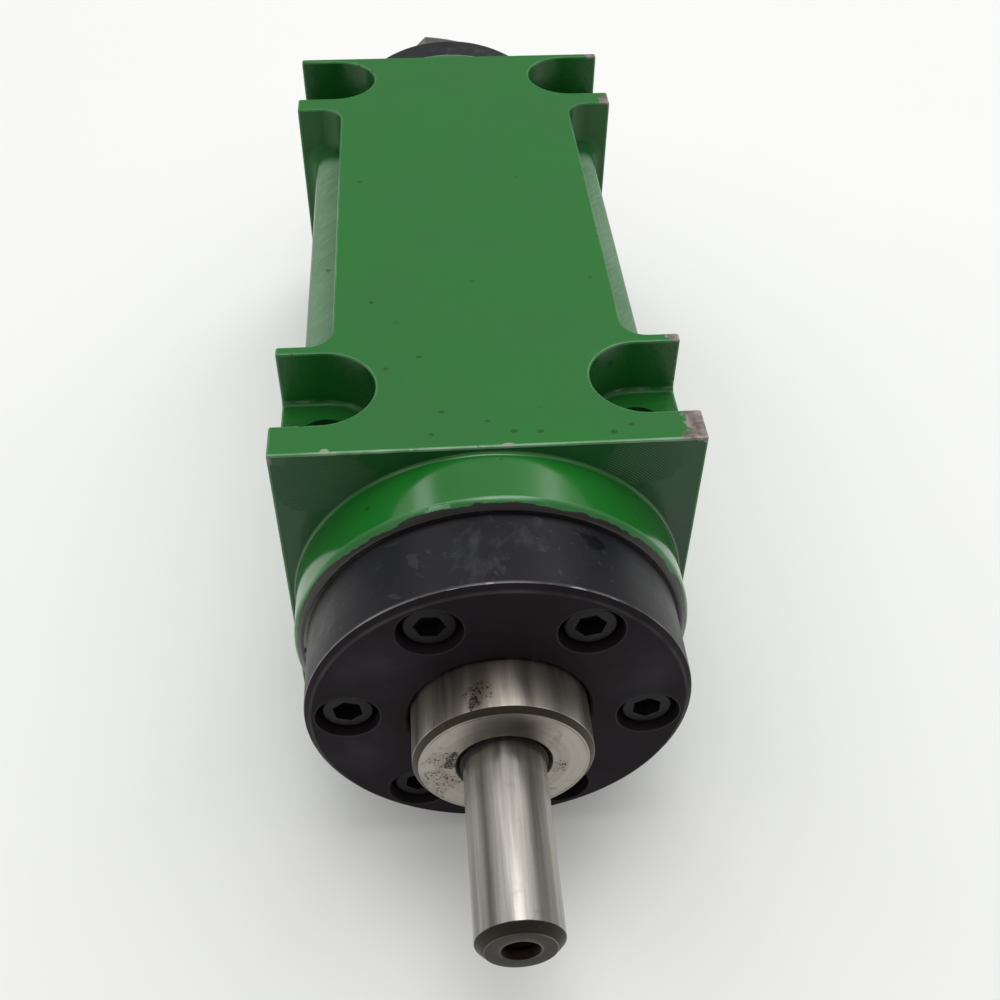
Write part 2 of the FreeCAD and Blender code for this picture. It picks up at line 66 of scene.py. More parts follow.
# %% Camera
camera_data = bpy.data.cameras.new("camera")
camera_data.lens = 43.0
camera_data.sensor_width = 36.0
camera_data.clip_start = 0.01
camera = bpy.data.objects.new("camera", camera_data)
camera.location = (-0.01192, -0.24041, 0.22447)
camera.rotation_euler = [math.radians(angle) for angle in (45.123, -0.697, -4.325)]
bpy.context.scene.collection.objects.link(camera)
bpy.context.scene.camera = camera
print("camera at", tuple(camera.location))

# %% [markdown]
# A material is a small network of nodes. Writing each node by hand takes many lines, so one helper makes a node,
# sets its properties and fills its inputs. An input is given either a value or the output of another node.

# %% Helpers for nodes and colours
def node(tree, kind, inputs=None, **properties):
    made = tree.nodes.new(kind)
    for name, value in properties.items():
        setattr(made, name, value)
    for key, value in (inputs or {}).items():
        if isinstance(value, bpy.types.NodeSocket):
            tree.links.new(value, made.inputs[key])
        else:
            made.inputs[key].default_value = value
    return made


def math_node(tree, operation, first, second=0.5, clamp=False):
    return node(tree, "ShaderNodeMath", {0: first, 1: second}, operation=operation, use_clamp=clamp).outputs[0]


def tint(red, green, blue):
    """Colour from 0 to 255 as a picture shows it, turned to the linear value that a shader wants."""
    parts = [value / 255 for value in (red, green, blue)]
    linear = [part / 12.92 if part <= 0.04045 else ((part + 0.055) / 1.055) ** 2.4 for part in parts]
    return (*linear, 1.0)


def mix_colour(tree, factor, first, second):
    mixer = node(tree, "ShaderNodeMix", data_type="RGBA")
    for key, value in ((0, factor), (6, first), (7, second)):
        if isinstance(value, bpy.types.NodeSocket):
            tree.links.new(value, mixer.inputs[key])
        else:
            mixer.inputs[key].default_value = value
    return mixer.outputs[2]


print("paint green in linear light", tint(66, 120, 70))

# %% [markdown]
# Four patterns come back in several finishes, so each is a node group: the uneven film of brushed enamel, the lines
# that a lathe leaves round the axis, scattered scratches, and one ragged spot such as a chip or a stain. A group
# gives out masks only, and each material decides what to do with them.

# %% Node groups for paint, turning and scratches
def new_group(name, sockets_in, sockets_out):
    group = bpy.data.node_groups.new(name, "ShaderNodeTree")
    for label, kind, value in sockets_in:
        socket = group.interface.new_socket(label, in_out="INPUT", socket_type=kind)
        if value is not None:
            socket.default_value = value
    for label, kind in sockets_out:
        group.interface.new_socket(label, in_out="OUTPUT", socket_type=kind)
    start = group.nodes.new("NodeGroupInput")
    end = group.nodes.new("NodeGroupOutput")
    return group, start.outputs, end.inputs


FLOAT, VECTOR = "NodeSocketFloat", "NodeSocketVector"


def threshold(tree, value, low, high):
    """0 below low, 1 above high."""
    ramp = node(tree, "ShaderNodeMapRange", {0: value, 1: low, 2: high, 3: 0.0, 4: 1.0}, clamp=True)
    return ramp.outputs[0]


def stretched_noise(tree, place, lean, stretch, detail=3.0):
    """Noise pulled out into streaks; lean turns the streaks, in radians, before stretch pulls them."""
    turned = node(tree, "ShaderNodeVectorRotate", {"Vector": place, "Rotation": lean}, rotation_type="EULER_XYZ")
    pulled = node(tree, "ShaderNodeVectorMath", {0: turned.outputs[0], 1: stretch}, operation="MULTIPLY").outputs[0]
    return node(tree, "ShaderNodeTexNoise", {"Vector": pulled, "Scale": 1.0, "Detail": detail}).outputs[0]


def make_paint_film():
    group, given, out = new_group("paint film", [("Place", VECTOR, None)],
                                  [("Cloud", FLOAT), ("Specks", FLOAT), ("Height", FLOAT)])
    cloud = node(group, "ShaderNodeTexNoise", {"Vector": given[0], "Scale": 38.0, "Detail": 5.0}).outputs[0]
    pits = node(group, "ShaderNodeTexVoronoi", {"Vector": given[0], "Scale": 210.0, "Randomness": 1.0})
    rare = node(group, "ShaderNodeTexNoise", {"Vector": given[0], "Scale": 95.0, "Detail": 2.0}).outputs[0]
    dot = math_node(group, "LESS_THAN", pits.outputs["Distance"], 0.13)
    specks = math_node(group, "MULTIPLY", dot, threshold(group, rare, 0.60, 0.66))
    fine = node(group, "ShaderNodeTexNoise", {"Vector": given[0], "Scale": 900.0, "Detail": 3.0}).outputs[0]
    broad = node(group, "ShaderNodeTexNoise", {"Vector": given[0], "Scale": 150.0, "Detail": 2.0}).outputs[0]
    height = math_node(group, "ADD", math_node(group, "MULTIPLY", fine, 0.35), broad)
    group.links.new(cloud, out["Cloud"])
    group.links.new(specks, out["Specks"])
    group.links.new(height, out["Height"])
    return group


def make_turned_lines():
    group, given, out = new_group("turned lines", [("Place", VECTOR, None), ("Pitch", FLOAT, 1500.0)],
                                  [("Lines", FLOAT), ("Bands", FLOAT), ("Radius", FLOAT), ("Along", FLOAT)])
    parts = node(group, "ShaderNodeSeparateXYZ", {0: given[0]}).outputs
    height = math_node(group, "SUBTRACT", parts["Z"], AXIS_Z * MM)
    squares = math_node(group, "ADD", math_node(group, "MULTIPLY", parts["X"], parts["X"]),
                        math_node(group, "MULTIPLY", height, height))
    radius = math_node(group, "SQRT", squares)
    section = node(group, "ShaderNodeCombineXYZ", {0: radius, 1: parts["Y"], 2: 0.0}).outputs[0]
    lines = node(group, "ShaderNodeTexNoise", {"Vector": section, "Scale": given["Pitch"], "Detail": 2.0}).outputs[0]
    bands = node(group, "ShaderNodeTexNoise", {"Vector": section, "Scale": 260.0, "Detail": 3.0}).outputs[0]
    for socket, name in ((lines, "Lines"), (bands, "Bands"), (radius, "Radius"), (parts["Y"], "Along")):
        group.links.new(socket, out[name])
    return group


def make_scratches():
    group, given, out = new_group("scratches", [("Place", VECTOR, None), ("Amount", FLOAT, 0.5)],
                                  [("Marks", FLOAT), ("Smudge", FLOAT)])
    bend = node(group, "ShaderNodeTexNoise", {"Vector": given[0], "Scale": 60.0, "Detail": 1.0}).outputs["Color"]
    bent = node(group, "ShaderNodeVectorMath", {0: bend, 1: (0.004, 0.004, 0.004)}, operation="MULTIPLY").outputs[0]
    moved = node(group, "ShaderNodeVectorMath", {0: given[0], 1: bent}, operation="ADD").outputs[0]
    marks = None
    for lean, stretch in (((0.4, 0.9, 0.3), (90.0, 1400.0, 700.0)), ((1.2, -0.5, 2.1), (1200.0, 130.0, 400.0))):
        grain = stretched_noise(group, moved, lean, stretch, 1.0)
        line = threshold(group, grain, 0.70, 0.73)
        marks = line if marks is None else math_node(group, "MAXIMUM", marks, line)
    smudge = node(group, "ShaderNodeTexNoise", {"Vector": given[0], "Scale": 75.0, "Detail": 4.0}).outputs[0]
    group.links.new(math_node(group, "MULTIPLY", marks, given["Amount"]), out["Marks"])
    group.links.new(smudge, out["Smudge"])
    return group


def make_spot():
    group, given, out = new_group("spot", [("Place", VECTOR, None), ("Centre", VECTOR, None), ("Size", VECTOR, None),
                                           ("Ragged", FLOAT, 1.0)], [("Inside", FLOAT)])
    away = node(group, "ShaderNodeVectorMath", {0: given["Place"], 1: given["Centre"]}, operation="SUBTRACT").outputs[0]
    scaled = node(group, "ShaderNodeVectorMath", {0: away, 1: given["Size"]}, operation="DIVIDE").outputs[0]
    reach = node(group, "ShaderNodeVectorMath", {0: scaled}, operation="LENGTH").outputs["Value"]
    uneven = node(group, "ShaderNodeTexNoise", {"Vector": given["Place"], "Scale": 420.0, "Detail": 4.0}).outputs[0]
    shifted = math_node(group, "MULTIPLY", math_node(group, "SUBTRACT", uneven, 0.5), given["Ragged"])
    inside = threshold(group, math_node(group, "SUBTRACT", 1.0, math_node(group, "ADD", reach, shifted)), 0.0, 0.1)
    group.links.new(inside, out["Inside"])
    return group


PAINT_FILM, TURNED_LINES, SCRATCHES, SPOT = make_paint_film(), make_turned_lines(), make_scratches(), make_spot()
print("node groups:", [group.name for group in bpy.data.node_groups])

# %% [markdown]
# A finish starts as a new material with one Principled shader and the object's own coordinates. The pattern stays
# on the piece when it moves, because it is read from the piece and not from the room.

# %% Start of a finish
def start_finish(name, **shader_values):
    material = bpy.data.materials.new(name)
    material.use_nodes = True
    tree = material.node_tree
    shader = tree.nodes["Principled BSDF"]
    for key, value in shader_values.items():
        shader.inputs[key.replace("_", " ")].default_value = value
    place = node(tree, "ShaderNodeTexCoord").outputs["Object"]
    return material, tree, shader, place


def use_group(tree, group, place, **values):
    made = node(tree, "ShaderNodeGroup", node_tree=group)
    tree.links.new(place, made.inputs["Place"])
    for key, value in values.items():
        made.inputs[key].default_value = value
    return made.outputs


def spots(tree, place, places, ragged=1.0):
    """1 inside any of some ragged spots, each given as its centre and its size in millimetres."""
    found = None
    for centre, size in places:
        values = {"Centre": [value * MM for value in centre], "Size": [value * MM for value in size], "Ragged": ragged}
        inside = use_group(tree, SPOT, place, **values)["Inside"]
        found = inside if found is None else math_node(tree, "MAXIMUM", found, inside)
    return found


def soft_patch(tree, place, centre, size):
    """1 at the centre of a patch, fading to 0 at its size, both in millimetres."""
    centre, size = [value * MM for value in centre], [value * MM for value in size]
    away = node(tree, "ShaderNodeVectorMath", {0: place, 1: centre}, operation="SUBTRACT").outputs[0]
    scaled = node(tree, "ShaderNodeVectorMath", {0: away, 1: size}, operation="DIVIDE").outputs[0]
    reach = node(tree, "ShaderNodeVectorMath", {0: scaled}, operation="LENGTH").outputs["Value"]
    return threshold(tree, reach, 1.0, 0.15)


def raise_surface(tree, shader, height, distance, strength=1.0):
    bump = node(tree, "ShaderNodeBump", {"Height": height, "Distance": distance, "Strength": strength})
    tree.links.new(bump.outputs[0], shader.inputs["Normal"])


def set_colour(tree, shader, colour, roughness=None):
    tree.links.new(colour, shader.inputs["Base Color"])
    if roughness is not None:
        tree.links.new(roughness, shader.inputs["Roughness"])


print("a finish has one Principled shader and reads Object coordinates")

# %% [markdown]
# The casting is brushed with one green enamel, and each region of it looks different: the milled top is even, the ears
# show the rings of a facing cutter under the paint, the pockets are dark and glossy, and the ledges are scuffed over a
# pale grey-green that is painted sheen.
# One function makes all of them, and its arguments say how far a region goes from the plain film. On the real head
# the paint is gone from four corners of the top and chipped along its near edge, so those spots are listed by place.

# %% Green enamel
GREEN, DARK_GREEN, PALE_GREEN = tint(36, 117, 46), tint(20, 74, 28), tint(138, 166, 142)
IRON_LIGHT, IRON_DARK = tint(158, 148, 143), tint(104, 90, 84)
BARE_CORNERS = [((43.4, -79, 80), (7.6, 9.0, 1.5)), ((40.5, -51.2, 80), (3.2, 2.4, 1.2)),
                ((40.2, 48, 80), (3.2, 4.2, 1.4)), ((40.2, 76.5, 80), (3.6, 3.4, 1.4)),
                ((-40, -82.2, 78.6), (1.0, 1.0, 1.2))]
PALE_CHIPS = [((-29.6, -81.7, 80), (0.9, 0.8, 0.6)), ((-27.8, -82.2, 80), (0.7, 0.35, 0.5)),
              ((3.2, -81.9, 80), (1.2, 0.6, 0.6)), ((-14.2, -82.2, 80), (0.4, 0.4, 0.4))]


RING_PATCHES = [((-31, -82, 73), (11, 4, 8)), ((29, -82, 75), (8, 4, 6)), ((30, 76, 72), (12, 4, 10))]


def show_iron(tree, place, colour):
    """The colour with bare iron at the worn corners and pale primer in the chips; also where that is."""
    bare = spots(tree, place, BARE_CORNERS)
    grain = node(tree, "ShaderNodeTexNoise", {"Vector": place, "Scale": 520.0, "Detail": 5.0}).outputs[0]
    iron = mix_colour(tree, threshold(tree, grain, 0.35, 0.62), IRON_DARK, IRON_LIGHT)
    chipped = spots(tree, place, PALE_CHIPS, 0.8)
    colour = mix_colour(tree, chipped, mix_colour(tree, bare, colour, iron), tint(148, 156, 136))
    return colour, math_node(tree, "MAXIMUM", bare, chipped)


NICKS = [(-23.7, 16.6), (-24.1, 11.1), (-18.4, -58.9), (-12.2, -55.5), (-0.4, -30.5), (-8.2, -72.2), (4.7, -78.3),
         (9.9, -71.9), (9.6, -78.6), (-0.1, -75.2), (26.4, -77.7), (-10.4, -78.4)]


def enamel(name, base, deep, roughness=0.42, gloss=0.35, bump=0.00005, rings=0.0, scuffs=0.0, iron=False, scraped=None,
           nicks=()):
    material, tree, shader, place = start_finish(name, Specular_IOR_Level=gloss)
    film = use_group(tree, PAINT_FILM, place)
    colour = mix_colour(tree, threshold(tree, film["Cloud"], 0.32, 0.70), deep, base)
    colour = mix_colour(tree, math_node(tree, "MULTIPLY", film["Specks"], 0.7), colour, tint(24, 40, 24))
    height = film["Height"]
    if scuffs:
        along = math_node(tree, "DIVIDE", node(tree, "ShaderNodeSeparateXYZ", {0: place}).outputs["Y"], MM)
        middle = (REAR_EAR_INSIDE + FRONT_EAR_INSIDE) / 2
        from_ear = math_node(tree, "SUBTRACT", FRONT_EAR_INSIDE - middle,
                             math_node(tree, "ABSOLUTE", math_node(tree, "SUBTRACT", along, middle)))
        reach = math_node(tree, "ADD", from_ear, math_node(tree, "MULTIPLY", film["Cloud"], 4.0))
        colour = mix_colour(tree, threshold(tree, reach, 4.5, 7.5), tint(30, 96, 38), colour)
        strokes = stretched_noise(tree, place, (0.0, 0.0, math.radians(38)), (1500.0, 70.0, 1500.0))
        worn = math_node(tree, "MULTIPLY", threshold(tree, strokes, 0.44, 0.66), threshold(tree, reach, 5.0, 8.0))
        worn = math_node(tree, "MULTIPLY", worn, scuffs)
        colour = mix_colour(tree, worn, colour, PALE_GREEN)
        height = math_node(tree, "ADD", height, strokes)
    if rings:
        radius = use_group(tree, TURNED_LINES, place)["Radius"]
        wave = math_node(tree, "SINE", math_node(tree, "MULTIPLY", radius, math.tau / (0.5 * MM)))
        cutter = math_node(tree, "MULTIPLY", threshold(tree, wave, -1.0, 1.0), spots(tree, place, RING_PATCHES, 0.9))
        colour = mix_colour(tree, math_node(tree, "MULTIPLY", cutter, rings), colour, deep)
        height = math_node(tree, "ADD", height, math_node(tree, "MULTIPLY", cutter, 0.8))
    if scraped:
        level = node(tree, "ShaderNodeSeparateXYZ", {0: place}).outputs["Z"]
        off = math_node(tree, "ABSOLUTE", math_node(tree, "SUBTRACT", level, scraped * MM))
        line = threshold(tree, math_node(tree, "SUBTRACT", 0.55 * MM, off), 0.0, 0.4 * MM)
        broken = stretched_noise(tree, place, (0.0, 0.0, 0.0), (260.0, 260.0, 900.0), 5.0)
        line = math_node(tree, "MULTIPLY", line, threshold(tree, broken, 0.46, 0.60))
        colour = mix_colour(tree, line, colour, tint(96, 132, 100))
    if nicks:
        marks = spots(tree, place, [((x, y, HEIGHT), (0.5, 0.34, 0.5)) for x, y in nicks], 4.0)
        colour = mix_colour(tree, math_node(tree, "MULTIPLY", marks, 0.62), colour, tint(30, 54, 34))
    if iron:
        colour, gone = show_iron(tree, place, colour)
        height = math_node(tree, "SUBTRACT", height, gone)
    rough = node(tree, "ShaderNodeMapRange", {0: film["Cloud"], 1: 0.3, 2: 0.7, 3: roughness - 0.06, 4: roughness + 0.08})
    set_colour(tree, shader, colour, rough.outputs[0])
    raise_surface(tree, shader, height, bump)
    return material


top_enamel = enamel("top_enamel", GREEN, tint(44, 110, 51), roughness=0.55, gloss=0.25, iron=True, nicks=NICKS)
side_enamel = enamel("side_enamel", tint(30, 100, 38), tint(25, 87, 33), roughness=0.3, bump=0.0001)
boss_enamel = enamel("boss_enamel", tint(30, 116, 40), tint(24, 104, 32), roughness=0.14, gloss=0.62, bump=0.00001)
plate_enamel = enamel("plate_enamel", tint(36, 92, 46), tint(28, 74, 36), roughness=0.14, gloss=0.38, rings=0.5,
                      iron=True)
pocket_enamel = enamel("pocket_enamel", tint(30, 107, 38), tint(20, 73, 28), roughness=0.26, bump=0.00015, scraped=68.0)
# Painted sheen: the ledge's pale grey-green base; the strokes on it are scuffs.
ledge_enamel = enamel("ledge_enamel", tint(116, 150, 119), tint(96, 136, 101), roughness=0.6, gloss=0.25, scuffs=0.35)
print("enamels:", [material.name for material in bpy.data.materials if "enamel" in material.name])

# %% [markdown]
# Paint pulls back from sharp edges and chips there. The rounded edges of the casting are faces of their own, so they
# take a finish of their own: pale thin paint, with chips down to the iron where a noise is high. Along the near top
# edge that pale is both thin paint and a painted highlight, and the pale line at the root of a boss is a painted
# highlight. The rim of a boss is pale along its outer corner and in patches on its top, both worn paint and painted
# highlight, and chipped along its inner one, so its finish reads the distance from the axis.

# %% Worn edges, painted edge highlights and bare iron
def worn_paint(name, base, thin, chip, chip_from=0.58, chip_to=0.64, iron=False):
    material, tree, shader, place = start_finish(name, Specular_IOR_Level=0.4)
    patch = node(tree, "ShaderNodeTexNoise", {"Vector": place, "Scale": 130.0, "Detail": 4.0}).outputs[0]
    broken = node(tree, "ShaderNodeTexNoise", {"Vector": place, "Scale": 420.0, "Detail": 3.0}).outputs[0]
    film = mix_colour(tree, threshold(tree, patch, 0.38, 0.66), base, thin)
    bare = threshold(tree, math_node(tree, "MULTIPLY", math_node(tree, "ADD", patch, broken), 0.5), chip_from, chip_to)
    colour = mix_colour(tree, bare, film, chip)
    if iron:
        colour = show_iron(tree, place, colour)[0]
    rough = node(tree, "ShaderNodeMapRange", {0: bare, 1: 0.0, 2: 1.0, 3: 0.3, 4: 0.5}).outputs[0]
    set_colour(tree, shader, colour, rough)
    raise_surface(tree, shader, math_node(tree, "SUBTRACT", 1.0, bare), 0.00006)
    return material


RIM_RUBS_AND_HIGHLIGHTS = [((-10, -94.4, 77), (3.2, 0.7, 1.6)), ((1, -94.6, 78.2), (3.6, 0.5, 1.0)), ((7.5, -94.6, 77.5), (3.4, 0.5, 1.2))]


def rim_paint(name, base, pale, chip):
    material, tree, shader, place = start_finish(name, Specular_IOR_Level=0.5, Roughness=0.24)
    radius = use_group(tree, TURNED_LINES, place)["Radius"]
    broken = node(tree, "ShaderNodeTexNoise", {"Vector": place, "Scale": 250.0, "Detail": 9.0}).outputs[0]
    long = node(tree, "ShaderNodeTexNoise", {"Vector": place, "Scale": 60.0, "Detail": 2.0}).outputs[0]
    # Pale along the outer corner and in patches on the top: both worn paint and painted highlight.
    outer = math_node(tree, "MULTIPLY", threshold(tree, radius, 38.05 * MM, 38.4 * MM), threshold(tree, long, 0.42, 0.64))
    rubs = math_node(tree, "MULTIPLY", spots(tree, place, RIM_RUBS_AND_HIGHLIGHTS, 2.6), threshold(tree, broken, 0.40, 0.62))
    outer = math_node(tree, "MAXIMUM", outer, rubs)
    inner = threshold(tree, radius, 38.5 * MM, 37.1 * MM)
    worn = math_node(tree, "MULTIPLY", math_node(tree, "ADD", broken, long), math_node(tree, "ADD", inner, 0.55))
    bare = threshold(tree, worn, 0.97, 1.05)
    set_colour(tree, shader, mix_colour(tree, bare, mix_colour(tree, outer, base, pale), chip))
    raise_surface(tree, shader, math_node(tree, "SUBTRACT", 1.0, bare), 0.00006)
    return material


def bare_iron(name, light, dark, roughness, metal=1.0, stain=0.0):
    material, tree, shader, place = start_finish(name, Metallic=metal)
    lines = use_group(tree, TURNED_LINES, place, Pitch=1800.0)
    marks = use_group(tree, SCRATCHES, place, Amount=0.5)
    colour = mix_colour(tree, threshold(tree, marks["Smudge"], 0.3, 0.7), dark, light)
    colour = mix_colour(tree, math_node(tree, "MULTIPLY", lines["Lines"], 0.35), colour, dark)
    if stain:
        stained = threshold(tree, marks["Smudge"], 0.60, 0.68)
        colour = mix_colour(tree, math_node(tree, "MULTIPLY", stained, stain), colour, tint(92, 62, 40))
    set_colour(tree, shader, colour)
    shader.inputs["Roughness"].default_value = roughness
    raise_surface(tree, shader, lines["Lines"], 0.00003)
    return material


edge_paint = worn_paint("edge_paint", tint(48, 118, 56), tint(72, 134, 78), tint(46, 48, 38), 0.62, 0.65, iron=True)
# Painted highlight: the pale lip along the near top edge is both thin paint and the edge's highlight.
lip_paint = worn_paint("lip_paint", tint(82, 140, 89), tint(134, 170, 138), tint(56, 60, 46), 0.63, 0.66, iron=True)
boss_rim = rim_paint("boss_rim", tint(44, 116, 54), tint(116, 162, 121), tint(31, 26, 25))
# Painted highlight: the pale line at the root of each boss, with real chips in it.
root_highlight_paint = worn_paint("root_highlight_paint", tint(58, 122, 66), tint(120, 158, 124), tint(60, 60, 50), 0.66, 0.70)
boss_ring = bare_iron("boss_ring", tint(35, 29, 28), tint(20, 16, 15), 0.55, metal=0.2, stain=0.2)
ground_base = bare_iron("ground_base", tint(150, 148, 142), tint(104, 102, 98), 0.38, stain=0.2)
bored_iron = bare_iron("bored_iron", tint(136, 132, 126), tint(92, 90, 86), 0.35)
print("worn finishes:", edge_paint.name, boss_rim.name, root_highlight_paint.name)

# %% [markdown]
# The covers and screws are black oxide: a thin dark skin on turned steel. It stays black on flat faces, shows faint
# rings from the lathe, and rubs through to grey where hands and tools touch the rim. The grey line round a rim is both
# rubbed edge and painted highlight. The pale glints on the rear rim are painted highlights, and two dents are painted
# near-black as painted shade.

# %% Black oxide
def black_oxide(name, base, cloudy, rubbed_and_highlight, roughness=0.42, rim_places=(), scratch=0.35, dent_shadows=(), scuffed=(), gloss=0.2,
                glints=(), dusty=()):
    material, tree, shader, place = start_finish(name, Specular_IOR_Level=gloss)
    lines = use_group(tree, TURNED_LINES, place, Pitch=1300.0)
    marks = use_group(tree, SCRATCHES, place, Amount=scratch)
    colour = mix_colour(tree, math_node(tree, "MULTIPLY", threshold(tree, marks["Smudge"], 0.4, 0.72), 0.5),
                        base, cloudy)
    colour = mix_colour(tree, math_node(tree, "MULTIPLY", marks["Marks"], 0.14), colour, rubbed_and_highlight)
    for centre, size in dusty:
        dust = math_node(tree, "MULTIPLY", soft_patch(tree, place, centre, size), threshold(tree, marks["Smudge"], 0.3, 0.6))
        colour = mix_colour(tree, math_node(tree, "MULTIPLY", dust, 0.5), colour, tint(68, 66, 72))
    if scuffed:
        flecks = stretched_noise(tree, place, (0.0, 0.0, 0.25), (520.0, 260.0, 520.0), 6.0)
        rubs = math_node(tree, "MULTIPLY", spots(tree, place, scuffed, 2.0), threshold(tree, flecks, 0.44, 0.80))
        colour = mix_colour(tree, math_node(tree, "MULTIPLY", rubs, 0.36), colour, tint(88, 88, 93))
    # Painted shade: the dark inside two small dents, painted near-black.
    if dent_shadows:
        colour = mix_colour(tree, spots(tree, place, dent_shadows, 1.6), colour, tint(2, 2, 4))
    # Rim lines: a thin grey line round each rim, both rubbed edge and painted highlight.
    for radius, along, width in rim_places:
        off_radius = math_node(tree, "ABSOLUTE", math_node(tree, "SUBTRACT", lines["Radius"], radius * MM))
        off_along = math_node(tree, "ABSOLUTE", math_node(tree, "SUBTRACT", lines["Along"], along * MM))
        distance = math_node(tree, "MAXIMUM", off_radius, off_along)
        near = node(tree, "ShaderNodeMapRange", {0: distance, 1: 0.0, 2: width * MM, 3: 1.0, 4: 0.0}).outputs[0]
        broken = math_node(tree, "MULTIPLY", near, threshold(tree, marks["Smudge"], 0.3, 0.62))
        colour = mix_colour(tree, broken, colour, rubbed_and_highlight)
    # Painted highlights: small pale glints on the rim.
    if glints:
        colour = mix_colour(tree, spots(tree, place, glints, 1.2), colour, tint(166, 163, 160))
    rough = node(tree, "ShaderNodeMapRange", {0: marks["Smudge"], 1: 0.3, 2: 0.7, 3: roughness - 0.08,
                                              4: roughness + 0.1}).outputs[0]
    set_colour(tree, shader, colour, rough)
    raise_surface(tree, shader, lines["Lines"], 0.00002)
    return material


COVER_BLACK, COVER_CLOUD, RUBBED_AND_HIGHLIGHT_GREY = tint(25, 25, 29), tint(39, 40, 45), tint(160, 157, 154)
FACE_BLACK, FACE_CLOUD = tint(33, 29, 33), tint(43, 39, 43)
FACE_SMUDGES = [((-22, -112.25, 56), (11, 2, 11)), ((26, -112.25, 52), (9, 2, 13)), ((-27, -112.25, 33), (8, 2, 12)),
                ((12, -112.25, 14), (14, 2, 8))]
rear_cover_black = black_oxide("rear_cover_black", COVER_BLACK, COVER_CLOUD, RUBBED_AND_HIGHLIGHT_GREY, 0.40,
                               [(36.0, REAR_COVER_FACE + 1.1, 0.5)], gloss=0.16,
                               glints=[((-2.2, -111.1, 76), (0.9, 0.28, 0.3)), ((13, -111.1, 73.6), (2.2, 0.24, 0.9)),
                                       ((-8.5, -111.2, 75), (1.6, 0.16, 0.5)), ((19.5, -111.2, 70.3), (1.2, 0.16, 0.8))],
                               dent_shadows=[((17.4, -99.2, 71.4), (1.9, 1.7, 1.9)), ((15.8, -98.2, 72.3), (1.1, 0.8, 1.1))],
                               scuffed=[((-3.5, -104, 76), (5, 8, 4)), ((6, -100, 76), (4, 4, 4)),
                                        ((-32, -104, 54), (6, 9, 8)), ((33, -101, 52), (6, 8, 9))])
front_cover_black = black_oxide("front_cover_black", COVER_BLACK, COVER_CLOUD, RUBBED_AND_HIGHLIGHT_GREY, 0.42,
                                [(35.9, FRONT_COVER_FACE - 1.2, 0.45)], scuffed=[((8, 88, 76), (12, 6, 6))])
cover_face_black = black_oxide("cover_face_black", FACE_BLACK, FACE_CLOUD, tint(84, 80, 80), 0.5,
                               [(34.8, REAR_COVER_FACE, 0.4), (34.8, FRONT_COVER_FACE, 0.4)], scratch=0.25, gloss=0.05,
                               dusty=FACE_SMUDGES)
screw_black = black_oxide("screw_black", tint(21, 17, 20), tint(30, 26, 28), tint(88, 82, 79), 0.46, scratch=0.6, gloss=0.2)
counterbore_rim = black_oxide("counterbore_rim", tint(35, 30, 34), tint(46, 41, 45), tint(84, 80, 80), 0.5, scratch=0.6,
                              gloss=0.2)
print("black oxide on covers and screws")

# %% [markdown]
# Ground and turned steel is bright metal, so most of its look is what it mirrors. Its fine rings smear a reflection
# along the axis and leave it sharp round the axis, which gives the long light and dark bands of a ground shaft. The
# shader's Anisotropic value does that: the radial tangent runs round the axis, and a quarter turn sets the smear
# along it. Rust specks at the places where the real one has them keep it from looking new.
# On the shaft and the collar, dark bands along the axis are also painted into the colour: painted reflection.

